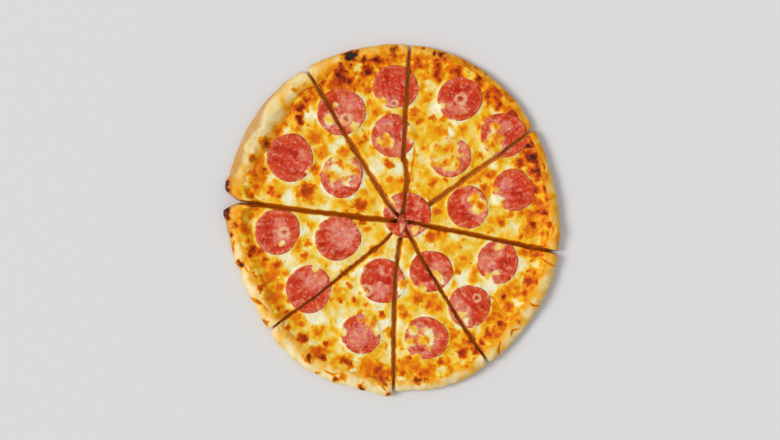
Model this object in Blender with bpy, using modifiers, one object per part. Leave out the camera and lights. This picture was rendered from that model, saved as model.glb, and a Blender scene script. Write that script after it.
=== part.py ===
"""A whole pepperoni pizza, cut into eight slices that still lie together.

Metres, +Z up. The pizza rests on its flat underside at z = 0. It is laid out as seen
from above, with +X to the right and +Y up the picture, and the origin is below the
middle of its outline. Plan positions are measured from the middle of the dough, and
one empty carries every piece to its place.

Each slice is a crust, a layer of sauce and a layer of cheese. Twenty rounds of
pepperoni lie on the cheese, and a round that a cut crosses is parted with it.
"""

from math import atan2, cos, exp, pi, radians, sin, sqrt, tau
from typing import NamedTuple

import bmesh
import bpy
from mathutils import Vector

# Outline of the dough, from its middle
OUTLINE_SHIFT = (-0.0006, -0.0007)   # brings the middle of the outline over the origin
RIM_RADIUS = 0.1506
# The rim is not round: waves in one turn, height, and the heading of one crest in degrees
RIM_WAVES = (
    (1, 0.0013, 45),
    (2, 0.0044, 102),
    (3, 0.0005, 35),
    (4, 0.0013, 66),
    (6, 0.0006, -6),
    (7, 0.0005, -21),
)

# Section through the dough
BASE_HEIGHT = 0.0042         # top of the flat part
CREST_HEIGHT = 0.0125        # mean top of the puffed rim
CREST_INSET = 0.35           # where the crest lies, as a share of the rim's width
# Lumps of the crest: waves in one turn, share of its height, heading in degrees
CREST_WAVES = ((1, 0.08, 216), (5, 0.06, 0), (9, 0.05, 16), (14, 0.035, 49))
EQUATOR_HEIGHT = 0.0045      # the rim is widest here
CURL_HEIGHT = 0.0013
CURL_INSET = 0.0013
UNDERSIDE_INSET = 0.0040     # the flat underside ends this far inside the rim
UNDERSIDE_GAP = 0.0008       # the blade leaves this much between two slices' undersides

# Layers on the dough
CLEARANCE = 0.00035          # air between two layers
SAUCE_THICKNESS = 0.0007
SAUCE_INSET = 0.62           # edge of the sauce, as a share of the rim's width
CHEESE_THICKNESS = 0.0024
CHEESE_EDGE = 0.0006         # thickness of the cheese at its edge
CHEESE_INSET = 0.72
CHEESE_SLUMP = 0.0007        # the cheese sags this much at a cut
CHEESE_RELIEF = 0.0004
CHEESE_WAVE = 0.062          # length of the slow waves in the cheese
CHEESE_CREST = (-0.006, -0.021)     # one place where these waves stand highest or lowest

# Pepperoni
PEPPERONI_THICKNESS = 0.0016
PEPPERONI_CUP = 0.0006       # the edge stands this much higher than the middle
PEPPERONI_LIFT = 0.00055     # air between a round and the highest layer under it
PEPPERONI_MIDDLE = 0.55      # radius of the ring between centre and edge, as a share
PEPPERONI_EDGE = 0.0004      # rounding of the upper edge
PEPPERONI_STEPS = 16
PEPPERONI_WOBBLE = ((2, 0.025), (3, 0.015))    # lobes of the outline, share of the radius
SMALLEST_PIECE = 12e-6       # a scrap of less plan area than this is left off

# Grid of one slice
COLUMNS = 16
CROWDING = 0.7               # how far the columns draw together towards the cuts
SLOPE_ROWS = (1.0, 0.86, CHEESE_INSET)     # shared by all three layers, so that they nest
RIM_ROWS = (*SLOPE_ROWS, SAUCE_INSET, 0.48, CREST_INSET, 0.2, 0.1, 0.03, 0.0)
SAUCE_ROWS = (*SLOPE_ROWS, SAUCE_INSET)
CHEESE_STATIONS = (0.28, 0.52, 0.77)    # rows between the tip and the rim
FARTHEST = 0.2                          # no ray from a tip is longer than this
HALVINGS = 40                           # of the search for a point along a ray
MERGE = 0.000001                        # points closer than this are one point
SHARP_ANGLE = 40                        # edges that turn more than this stay sharp

KNIFE_CENTRE = Vector((0.0092, -0.0013))


class Cut(NamedTuple):
    """One stroke of the knife, outward from its centre."""

    heading: float      # degrees
    rim: float          # width of the puffed rim there
    gap: float          # width of the cut at the top
    before: float       # how far the rim's corner just before the cut is pulled back
    after: float        # and the corner just after it, anticlockwise
    reach: float        # how far along the rim that pull is felt


CUTS = (
    Cut(-10.2, 0.021, 0.0036, 0.0015, 0.0015, 0.003),
    Cut(36.0, 0.015, 0.0034, 0.0010, 0.0045, 0.003),
    Cut(87.9, 0.022, 0.0036, 0.0015, 0.0015, 0.003),
    Cut(123.3, 0.026, 0.0036, 0.0030, 0.0030, 0.003),
    Cut(174.1, 0.026, 0.0042, 0.0090, 0.0090, 0.006),
    Cut(220.1, 0.026, 0.0024, 0.0020, 0.0020, 0.003),
    Cut(267.3, 0.026, 0.0036, 0.0015, 0.0020, 0.003),
    Cut(301.2, 0.024, 0.0030, 0.0015, 0.0025, 0.003),
)

# Width of the puffed rim in the middle of each slice, which starts at the cut of its number
MIDDLE_WIDTHS = (0.021, 0.019, 0.025, 0.033, 0.025, 0.028, 0.025, 0.027)

# Rounds of pepperoni: x, y and diameter
ROUNDS = (
    (-0.0449, 0.0946, 0.0420),
    (0.0026, 0.1166, 0.0390),
    (0.0004, 0.0735, 0.0380),
    (-0.0898, 0.0541, 0.0414),
    (-0.0444, 0.0383, 0.0380),
    (0.0594, 0.1060, 0.0387),
    (0.0510, 0.0550, 0.0360),
    (0.0977, 0.0739, 0.0400),
    (0.1065, 0.0260, 0.0370),
    (0.0664, 0.0110, 0.0370),
    (0.0928, -0.0374, 0.0370),
    (0.0678, -0.0761, 0.0374),
    (0.0339, -0.0453, 0.0370),
    (0.0299, -0.1043, 0.0380),
    (-0.0084, -0.0541, 0.0396),
    (-0.0277, -0.1008, 0.0350),
    (-0.0735, -0.0612, 0.0410),
    (-0.1012, -0.0106, 0.0400),
    (-0.0480, -0.0163, 0.0400),
    (0.0128, 0.0040, 0.0410),
)
# Two cuts fade out before the knife's centre, so the middle round bridges them there
MIDDLE_GROUPS = ((0, 1), (2,), (3,), (4, 5), (6,), (7,))


def waves(angle, table):
    """Sum of the waves in a table at a heading."""
    return sum(height * cos(count * (angle - radians(crest))) for count, height, crest in table)


def rim_radius(angle):
    """Distance from the middle of the dough to its edge."""
    return RIM_RADIUS + waves(angle, RIM_WAVES)


def crest_height(angle):
    """Height of the rim's crest, with its slow lumps."""
    return CREST_HEIGHT * (1 + waves(angle, CREST_WAVES))


def width_stations():
    """Headings at which the rim's width is given, each cut and each middle, with the width."""
    stations = []
    for cut, following, middle in zip(CUTS, CUTS[1:] + CUTS[:1], MIDDLE_WIDTHS):
        start = radians(cut.heading)
        turn = radians((following.heading - cut.heading) % 360)
        stations += [(start, cut.rim), (start + turn / 2, middle)]
    return stations


def rim_width(angle):
    """Width of the puffed rim, eased from one station to the next."""
    for (start, width), (end, following) in zip(STATIONS, STATIONS[1:] + STATIONS[:1]):
        share = ((angle - start) % tau) / ((end - start) % tau)
        if share <= 1:
            return width + (following - width) * (1 - cos(pi * share)) / 2
    raise ValueError("no station of the rim's width lies before this heading")


def direction(angle):
    """Unit vector of a heading in radians."""
    return Vector((cos(angle), sin(angle)))


def cross(first, second):
    """Signed area of two plan vectors: how far the second lies left of the first."""
    return first.x * second.y - first.y * second.x


def dough_height(inset, angle):
    """Top of the dough at an inset, which is 0 at the edge and 1 where the rim ends."""
    if inset >= 1:
        return BASE_HEIGHT
    crest = crest_height(angle)
    if inset < CREST_INSET:
        back = (CREST_INSET - inset) / CREST_INSET
        return EQUATOR_HEIGHT + (crest - EQUATOR_HEIGHT) * sqrt(max(0.0, 1 - back * back))
    share = (inset - CREST_INSET) / (1 - CREST_INSET)
    return BASE_HEIGHT + (crest - BASE_HEIGHT) * (1 + cos(pi * share)) / 2


def cheese_depth(inset):
    """Thickness of the cheese, which thins out on the slope of the rim."""
    share = min(1.0, max(0.0, (inset - CHEESE_INSET) / (1 - CHEESE_INSET)))
    return CHEESE_EDGE + (CHEESE_THICKNESS - CHEESE_EDGE) * sqrt(share)


def cheese_relief(point):
    """Slow rise and fall of the cheese."""
    across = cos(tau * (point.x - CHEESE_CREST[0]) / CHEESE_WAVE)
    along = cos(tau * (point.y - CHEESE_CREST[1]) / CHEESE_WAVE)
    return CHEESE_RELIEF * across * along


class Slice:
    """The wedge between two cuts, on its top (apex) and at the underside (foot)."""

    def __init__(self, number):
        self.first = CUTS[number]
        self.second = CUTS[(number + 1) % len(CUTS)]
        self.start = radians(self.first.heading)
        self.turn = radians((self.second.heading - self.first.heading) % 360)
        self.end = self.start + self.turn
        self.apex = self.tip(self.first.gap, self.second.gap)
        self.foot = self.tip(UNDERSIDE_GAP, UNDERSIDE_GAP)

    def tip(self, first_gap, second_gap):
        """Where the two cut faces meet, each set back from its cut by half a gap."""
        first = direction(self.start)
        second = direction(self.end)
        from_first = first.orthogonal() * (first_gap / 2)
        from_second = second.orthogonal() * (-second_gap / 2)
        along = cross(from_second - from_first, second) / cross(first, second)
        return KNIFE_CENTRE + from_first + first * along

    def edge(self, point):
        """Rim radius at a point's heading, with the corners at both cuts pulled back."""
        offset = point - KNIFE_CENTRE
        from_first = cross(direction(self.start), offset) / self.first.reach
        from_second = cross(offset, direction(self.end)) / self.second.reach
        pull = self.first.after * exp(-from_first * from_first)
        pull += self.second.before * exp(-from_second * from_second)
        return rim_radius(atan2(point.y, point.x)) - pull

    def inset(self, point):
        """Distance from the rim as a share of its width: 0 at the edge, 1 or more inside."""
        angle = atan2(point.y, point.x)
        return (self.edge(point) - point.length) / rim_width(angle)

    def walk(self, origin, heading, share=0.0, depth=0.0):
        """Point on a ray that lies a share of the rim's width plus a depth inside the edge."""
        ray = direction(heading)
        near, far = 0.0, FARTHEST
        for _ in range(HALVINGS):
            middle = (near + far) / 2
            point = origin + ray * middle
            wanted = self.edge(point) - share * rim_width(atan2(point.y, point.x)) - depth
            if point.length < wanted:
                near = middle
            else:
                far = middle
        return origin + ray * near

    def columns(self):
        """Headings of the slice's sections, closer together towards the cuts."""
        headings = []
        for column in range(COLUMNS + 1):
            even = column / COLUMNS
            crowded = (1 - cos(pi * even)) / 2
            headings.append(self.start + self.turn * (even + CROWDING * (crowded - even)))
        return headings

    def dough_top(self, point):
        """Top of the dough over a plan point."""
        return dough_height(self.inset(point), atan2(point.y, point.x))

    def sauce_top(self, point):
        """Top of the sauce over a plan point."""
        return self.dough_top(point) + CLEARANCE + SAUCE_THICKNESS

    def cheese_top(self, point, inset=None):
        """Top of the cheese over a plan point."""
        inset = self.inset(point) if inset is None else inset
        relief = cheese_relief(point) * min(1.0, cheese_depth(inset) / CHEESE_THICKNESS)
        return self.sauce_top(point) + CLEARANCE + cheese_depth(inset) + relief

    def top(self, point):
        """Highest surface over a plan point, on which pepperoni rests."""
        inset = self.inset(point)
        if inset >= CHEESE_INSET:
            return self.cheese_top(point)
        if inset >= SAUCE_INSET:
            return self.sauce_top(point) + CLEARANCE + CHEESE_EDGE
        return self.dough_top(point) + CLEARANCE + SAUCE_THICKNESS


def lift(point, height):
    """A plan point with a height."""
    return Vector((point.x, point.y, height))


def crust_section(wedge, heading):
    """Section of a crust from its upper tip over the rim and back along the underside."""
    section = [lift(wedge.apex, BASE_HEIGHT)]
    for share in RIM_ROWS:
        point = wedge.walk(wedge.apex, heading, share=share)
        section.append(lift(point, dough_height(share, atan2(point.y, point.x))))
    section.append(lift(wedge.walk(wedge.foot, heading, depth=CURL_INSET), CURL_HEIGHT))
    section.append(lift(wedge.walk(wedge.foot, heading, depth=UNDERSIDE_INSET), 0))
    section.append(lift(wedge.foot, 0))
    return section


def sauce_section(wedge, heading):
    """Section of a layer of sauce, which runs a little way up the rim."""
    points = [wedge.walk(wedge.apex, heading, share=share) for share in SAUCE_ROWS]
    points.insert(0, wedge.apex)
    upper = [lift(point, wedge.sauce_top(point)) for point in points]
    lower = [lift(point, wedge.dough_top(point) + CLEARANCE) for point in reversed(points)]
    return upper + lower


def cheese_section(wedge, heading, slump):
    """Section of a layer of cheese, with rows across its open middle."""
    rim = [wedge.walk(wedge.apex, heading, share=share) for share in SLOPE_ROWS]
    open_rows = [wedge.apex.lerp(rim[0], station) for station in CHEESE_STATIONS]
    upper = [lift(wedge.apex, wedge.cheese_top(wedge.apex) - CHEESE_SLUMP)]
    upper += [lift(point, wedge.cheese_top(point) - slump) for point in open_rows]
    for share, point in zip(SLOPE_ROWS, rim):
        sag = slump * cheese_depth(share) / CHEESE_THICKNESS
        upper.append(lift(point, wedge.cheese_top(point, share) - sag))
    rim.insert(0, wedge.apex)
    lower = [lift(point, wedge.sauce_top(point) + CLEARANCE) for point in reversed(rim)]
    return upper + lower


def skin(name, sections, material):
    """Skin a fan of sections that share their first and last points, and cap both sides."""
    shape = bmesh.new()
    first = shape.verts.new(sections[0][0])
    last = shape.verts.new(sections[0][-1])
    rows = [[first, *map(shape.verts.new, section[1:-1]), last] for section in sections]
    for row, following in zip(rows, rows[1:]):
        for corners in zip(row, row[1:], following[1:], following):
            shape.faces.new(dict.fromkeys(corners))
    shape.faces.new(rows[0])
    shape.faces.new(rows[-1])
    bmesh.ops.recalc_face_normals(shape, faces=shape.faces)
    return add_piece(name, shape, material)


def add_piece(name, shape, material):
    """Turn a finished shape into a named object that rides on the pizza's empty."""
    mesh = bpy.data.meshes.new(name)
    shape.to_mesh(mesh)
    shape.free()
    mesh.shade_smooth()
    mesh.set_sharp_from_angle(angle=radians(SHARP_ANGLE))
    mesh.materials.append(material)
    piece = bpy.data.objects.new(name, mesh)
    pizza.objects.link(piece)
    piece.parent = carrier
    return piece


def turned_round(radius):
    """Turn a cupped round of pepperoni about its own middle, and return its mesh."""
    middle = radius * PEPPERONI_MIDDLE
    half_cup = PEPPERONI_CUP * PEPPERONI_MIDDLE ** 2
    top = PEPPERONI_THICKNESS
    profile = (
        (0, top),
        (middle, top + half_cup),
        (radius - PEPPERONI_EDGE, top + PEPPERONI_CUP),
        (radius, top + PEPPERONI_CUP - PEPPERONI_EDGE),
        (radius - PEPPERONI_EDGE, PEPPERONI_CUP / 2),
        (middle, 0),
        (0, 0),
    )
    outline = bpy.data.meshes.new("round_profile")
    edges = [(index, index + 1) for index in range(len(profile) - 1)]
    outline.from_pydata([(across, 0, height) for across, height in profile], edges, [])
    guide = bpy.data.objects.new("round_profile", outline)
    pizza.objects.link(guide)
    turn = guide.modifiers.new("turn", "SCREW")
    turn.steps = PEPPERONI_STEPS
    turn.render_steps = PEPPERONI_STEPS
    turn.use_merge_vertices = True
    turn.merge_threshold = MERGE
    bpy.context.view_layer.update()
    turned = guide.evaluated_get(bpy.context.evaluated_depsgraph_get())
    mesh = bpy.data.meshes.new_from_object(turned)
    bpy.data.objects.remove(guide)
    bpy.data.meshes.remove(outline)
    return mesh


def keep_side(shape, wedge, heading, gap, side):
    """Cut a shape along one cut of a wedge, keep the side inside it, and close the face."""
    ray = direction(heading)
    inward = Vector((-ray.y, ray.x, 0)) * side
    place = lift(KNIFE_CENTRE, 0) + inward * (gap / 2)
    geometry = [*shape.verts, *shape.edges, *shape.faces]
    bmesh.ops.bisect_plane(
        shape, geom=geometry, dist=MERGE, plane_co=place, plane_no=inward, clear_inner=True
    )
    bmesh.ops.holes_fill(shape, edges=[edge for edge in shape.edges if edge.is_boundary])


def plan_area(shape):
    """Area of a round's piece seen from above."""
    return sum(face.calc_area() * max(0.0, face.normal.z) for face in shape.faces)


def slice_at(point):
    """Number of the slice under a plan point."""
    offset = point - KNIFE_CENTRE
    angle = atan2(offset.y, offset.x)
    for number, wedge in enumerate(SLICES):
        if (angle - wedge.start) % tau < wedge.turn:
            return number
    return 0


def round_piece(number, group):
    """One round's piece on a run of neighbouring slices, or None where it has none."""
    x, y, diameter = ROUNDS[number]
    mesh = turned_round(diameter / 2)
    shape = bmesh.new()
    shape.from_mesh(mesh)
    bpy.data.meshes.remove(mesh)
    for vertex in shape.verts:
        angle = atan2(vertex.co.y, vertex.co.x)
        stray = sum(share * cos(lobes * angle + number) for lobes, share in PEPPERONI_WOBBLE)
        vertex.co.xy = vertex.co.xy * (1 + stray) + Vector((x, y))
    first, last = SLICES[group[0]], SLICES[group[-1]]
    keep_side(shape, first, first.start, first.first.gap, 1)
    keep_side(shape, last, last.end, last.second.gap, -1)
    shape.normal_update()
    if not shape.verts or plan_area(shape) < SMALLEST_PIECE:
        shape.free()
        return None
    for vertex in shape.verts:
        point = Vector(vertex.co.xy)
        under = slice_at(point)
        wedge = SLICES[under if under in group else group[0]]
        vertex.co.z += wedge.top(point) + PEPPERONI_LIFT
    bmesh.ops.recalc_face_normals(shape, faces=shape.faces)
    return shape


def add_crusts(material):
    """The baked dough of each slice."""
    for number, wedge in enumerate(SLICES, 1):
        skin(f"crust_{number}", [crust_section(wedge, h) for h in wedge.columns()], material)


def add_sauce(material):
    """The tomato sauce of each slice."""
    for number, wedge in enumerate(SLICES, 1):
        skin(f"sauce_{number}", [sauce_section(wedge, h) for h in wedge.columns()], material)


def add_cheese(material):
    """The melted cheese of each slice, sagging at both cuts."""
    for number, wedge in enumerate(SLICES, 1):
        headings = wedge.columns()
        slumps = [CHEESE_SLUMP] + [0.0] * (len(headings) - 2) + [CHEESE_SLUMP]
        sections = [cheese_section(wedge, h, slump) for h, slump in zip(headings, slumps)]
        skin(f"cheese_{number}", sections, material)


def add_pepperoni(material):
    """The rounds of pepperoni, each in one piece or in one piece for each part of it."""
    single = tuple((number,) for number in range(len(SLICES)))
    for number in range(len(ROUNDS)):
        groups = MIDDLE_GROUPS if number == len(ROUNDS) - 1 else single
        shapes = [round_piece(number, group) for group in groups]
        shapes = [shape for shape in shapes if shape is not None]
        name = f"pepperoni_{number + 1:02d}"
        for letter, shape in zip("abcdef", shapes):
            add_piece(name if len(shapes) == 1 else f"{name}_{letter}", shape, material)


def finish(name, colour, roughness):
    """A plain material from a linear colour."""
    material = bpy.data.materials.new(name)
    material.use_nodes = True
    shader = material.node_tree.nodes["Principled BSDF"]
    shader.inputs["Base Color"].default_value = (*colour, 1)
    shader.inputs["Roughness"].default_value = roughness
    shader.inputs["Metallic"].default_value = 0
    return material


for leftover in list(bpy.data.objects):
    bpy.data.objects.remove(leftover)

pizza = bpy.data.collections.new("pepperoni_pizza")
bpy.context.scene.collection.children.link(pizza)
carrier = bpy.data.objects.new("pizza_middle", None)
carrier.location = (*OUTLINE_SHIFT, 0)
pizza.objects.link(carrier)

STATIONS = width_stations()
SLICES = [Slice(number) for number in range(len(CUTS))]
add_crusts(finish("baked_dough", (0.75, 0.46, 0.17), 0.8))
add_sauce(finish("tomato_sauce", (0.50, 0.05, 0.01), 0.35))
add_cheese(finish("melted_cheese", (0.90, 0.66, 0.22), 0.4))
add_pepperoni(finish("pepperoni", (0.60, 0.10, 0.05), 0.35))
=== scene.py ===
"""The looks of a sliced pepperoni pizza, dressed over its solid model.

Metres, +Z up, seen from above with +X to the right and +Y up the picture. Plan points are
complex numbers measured from the middle of the dough: the real part lies along +X and the
imaginary part along +Y. Heights stay separate until a surface is built from both.
"""
import logging
from collections.abc import Callable
from dataclasses import dataclass
from enum import Enum

import bpy
import numpy as np
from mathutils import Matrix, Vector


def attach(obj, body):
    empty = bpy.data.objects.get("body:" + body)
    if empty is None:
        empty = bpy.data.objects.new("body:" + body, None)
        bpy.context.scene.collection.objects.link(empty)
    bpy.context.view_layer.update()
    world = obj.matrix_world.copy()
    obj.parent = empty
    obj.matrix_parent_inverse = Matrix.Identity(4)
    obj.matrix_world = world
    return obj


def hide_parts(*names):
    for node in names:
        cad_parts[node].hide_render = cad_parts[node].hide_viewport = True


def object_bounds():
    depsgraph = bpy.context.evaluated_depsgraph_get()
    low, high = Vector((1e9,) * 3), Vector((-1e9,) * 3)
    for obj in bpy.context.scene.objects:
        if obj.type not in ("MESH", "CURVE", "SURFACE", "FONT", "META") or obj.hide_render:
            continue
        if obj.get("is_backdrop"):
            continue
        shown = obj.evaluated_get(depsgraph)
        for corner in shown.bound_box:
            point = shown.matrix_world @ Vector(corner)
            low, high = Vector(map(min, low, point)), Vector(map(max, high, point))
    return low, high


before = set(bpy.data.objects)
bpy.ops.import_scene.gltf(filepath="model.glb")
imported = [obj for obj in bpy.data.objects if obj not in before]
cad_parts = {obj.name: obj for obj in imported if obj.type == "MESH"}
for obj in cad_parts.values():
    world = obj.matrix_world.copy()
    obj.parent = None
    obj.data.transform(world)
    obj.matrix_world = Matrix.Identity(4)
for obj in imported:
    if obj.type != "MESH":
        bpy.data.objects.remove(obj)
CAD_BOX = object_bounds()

Array = np.ndarray
log = logging.getLogger("pizza")

TAU = 2 * np.pi
BODY = "root"
OUTLINE_SHIFT = -0.0006 - 0.0007j     # from the middle of the dough to the origin
KNIFE_CENTRE = 0.0092 - 0.0013j
FLAT_INSET = 1.1                      # where the crust counts as flat base, in rim widths
STRAY_AT = (0, 12, 20, 36, 60, 100, 135)      # distances from the knife's centre, in mm
STRAY_SPREAD = (0.004, 0.014)         # least and greatest half width of the strip that strays
STRAY_WIDENING = 0.3                  # how fast that strip widens on the way out
SEARCH_STEPS = 30                     # halvings, when a distance is searched for
FARTHEST = 0.2                        # where such a search starts
HIDDEN_ROWS = np.linspace(0.004, 1, 28)[:, None]     # of sheets between a tip and an outer edge
HIDDEN_COLUMNS = 16
SMALLEST_STEP = 0.0001                # between two sheets that would otherwise coincide
WELD = 1e-6                           # points closer than this become one
HASH_PRIMES = (374761393, 668265263, 974711, 1274126177)
HASH_MASK = 0xFFFFFFFF
SEED_STRIDE = 31                      # keeps the draws of one seed apart from the next seed's
NOISE_GAIN = 1.5                      # brings gradient noise to about -1 to 1


class Slot(Enum):
    """The kinds of food that the pizza is made of, by the names in its record."""

    CRUST = "crust"
    SAUCE = "sauce"
    CHEESE = "cheese"
    PEPPERONI = "pepperoni"


# Number helpers

def smooth(value: Array, low: float, high: float) -> Array:
    """Ease values from 0 at low and beyond to 1 at high, which may be the lesser of the two."""
    share = np.clip((value - low) / (high - low), 0, 1)
    return share * share * (3 - 2 * share)


def ray(heading: Array | float) -> Array:
    """Unit plan vector of a heading in radians."""
    return np.exp(1j * np.asarray(heading))


def cross(first: Array, second: Array) -> Array:
    """How far the second plan vector lies to the left of the first."""
    return (np.conj(first) * second).imag


def thinned(line: Array) -> Array:
    """A few of the points of a row, with its first and last, for a sheet that hardly shows."""
    return line[np.linspace(0, len(line) - 1, HIDDEN_COLUMNS).astype(int)]


def farthest(far: Array, holds: Callable[[Array], Array]) -> Array:
    """Search several rays at once for the greatest distance at which a test holds.

    Args:
        far: where the test fails on each ray.
        holds: the test, from distances to truth values.

    Returns:
        One distance for each ray.
    """
    near = np.zeros(far.shape)
    for _ in range(SEARCH_STEPS):
        middle = (near + far) / 2
        held = holds(middle)
        near, far = np.where(held, middle, near), np.where(held, far, middle)
    return near


@dataclass(frozen=True)
class Noise:
    """Smooth noise over the plan, the same on every run."""

    seed: int

    def scatter(self, column: Array, row: Array, turn: int = 0) -> Array:
        """A random share from 0 to 1 for each lattice cell.

        Args:
            column, row: whole numbers of the cell.
            turn: which of several independent draws.

        Returns:
            One share for each cell.
        """
        across, along, draw, stir = HASH_PRIMES
        mixed = column * across + row * along + (self.seed * SEED_STRIDE + turn) * draw
        mixed = mixed & HASH_MASK
        mixed = ((mixed ^ (mixed >> 13)) * stir) & HASH_MASK
        mixed = ((mixed ^ (mixed >> 15)) * along) & HASH_MASK
        return (mixed ^ (mixed >> 16)) / HASH_MASK

    def at(self, plan: Array, size: float) -> Array:
        """Gradient noise from about -1 to 1, on a lattice that is turned for each seed.

        Args:
            plan: where to look.
            size: of a feature, which is a cell of the lattice.

        Returns:
            The noise at each point.
        """
        turned = plan * ray(self.seed) / size
        across, along = turned.real, turned.imag
        column, row = np.floor(across).astype(np.int64), np.floor(along).astype(np.int64)
        across, along = across - column, along - row
        ease_across = across**3 * (across * (across * 6 - 15) + 10)
        ease_along = along**3 * (along * (along * 6 - 15) + 10)
        total = np.zeros(plan.shape)
        for right in (0, 1):
            for up in (0, 1):
                slope = ray(TAU * self.scatter(column + right, row + up))
                rise = slope.real * (across - right) + slope.imag * (along - up)
                weight = ease_across if right else 1 - ease_across
                total += rise * weight * (ease_along if up else 1 - ease_along)
        return total * NOISE_GAIN

    def layered(self, plan: Array, size: float, layers: int = 3) -> Array:
        """Noise with finer and weaker layers on top."""
        parts = ((Noise(self.seed + step), 2**step) for step in range(layers))
        return sum(noise.at(plan, size / finer) / finer for noise, finer in parts)

    def domes(
        self, plan: Array, spacing: float, smallest: float, largest: float, crowd: float
    ) -> tuple[Array, Array]:
        """Rounded bumps, at most one to a cell.

        Args:
            plan: where to look.
            spacing: size of a cell.
            smallest, largest: radius of a bump.
            crowd: share of the cells that have one.

        Returns:
            The height of the bump at each point, from 0 to 1, and that bump's own random share.
        """
        column = np.floor(plan.real / spacing).astype(np.int64)
        row = np.floor(plan.imag / spacing).astype(np.int64)
        height, own = np.zeros(plan.shape), np.zeros(plan.shape)
        for right in (-1, 0, 1):
            for up in (-1, 0, 1):
                cell = (column + right, row + up)
                centre = (cell[0] + self.scatter(*cell, 1)) + 1j * (cell[1] + self.scatter(*cell, 2))
                radius = smallest + (largest - smallest) * self.scatter(*cell, 3) ** 2
                bump = 1 - (np.abs(plan - centre * spacing) / radius) ** 2
                bump = np.where(self.scatter(*cell, 4) < crowd, bump, 0)
                own = np.where(bump > height, self.scatter(*cell, 5), own)
                height = np.maximum(height, bump)
        return height, own


@dataclass(frozen=True)
class Grain:
    """Layered noise of one kind: its seed, the size of its features and its strength."""

    seed: int
    size: float
    amount: float = 1.0
    layers: int = 1

    def at(self, plan: Array) -> Array:
        """Its value at plan points."""
        return self.amount * Noise(self.seed).layered(plan, self.size, self.layers)

    def bend(self, plan: Array) -> Array:
        """Plan points moved by it, so that lines and discs read from them come out uneven."""
        across, along = (Noise(self.seed + step).at(plan, self.size) for step in (0, 5))
        return plan + self.amount * (across + 1j * along)


# Plan of the pizza

@dataclass(frozen=True)
class Cut:
    """One stroke of the knife, outward from its centre."""

    heading: float      # degrees
    rim: float          # width of the puffed rim there
    gap: float          # width of the cut at the top
    before: float       # pull-back of the rim's corner just before the cut
    after: float        # and of the corner just after it, anticlockwise
    reach: float        # how far along the rim that pull is felt
    stray: tuple        # how far it runs to the left of straight, in mm, at each of STRAY_AT


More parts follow.
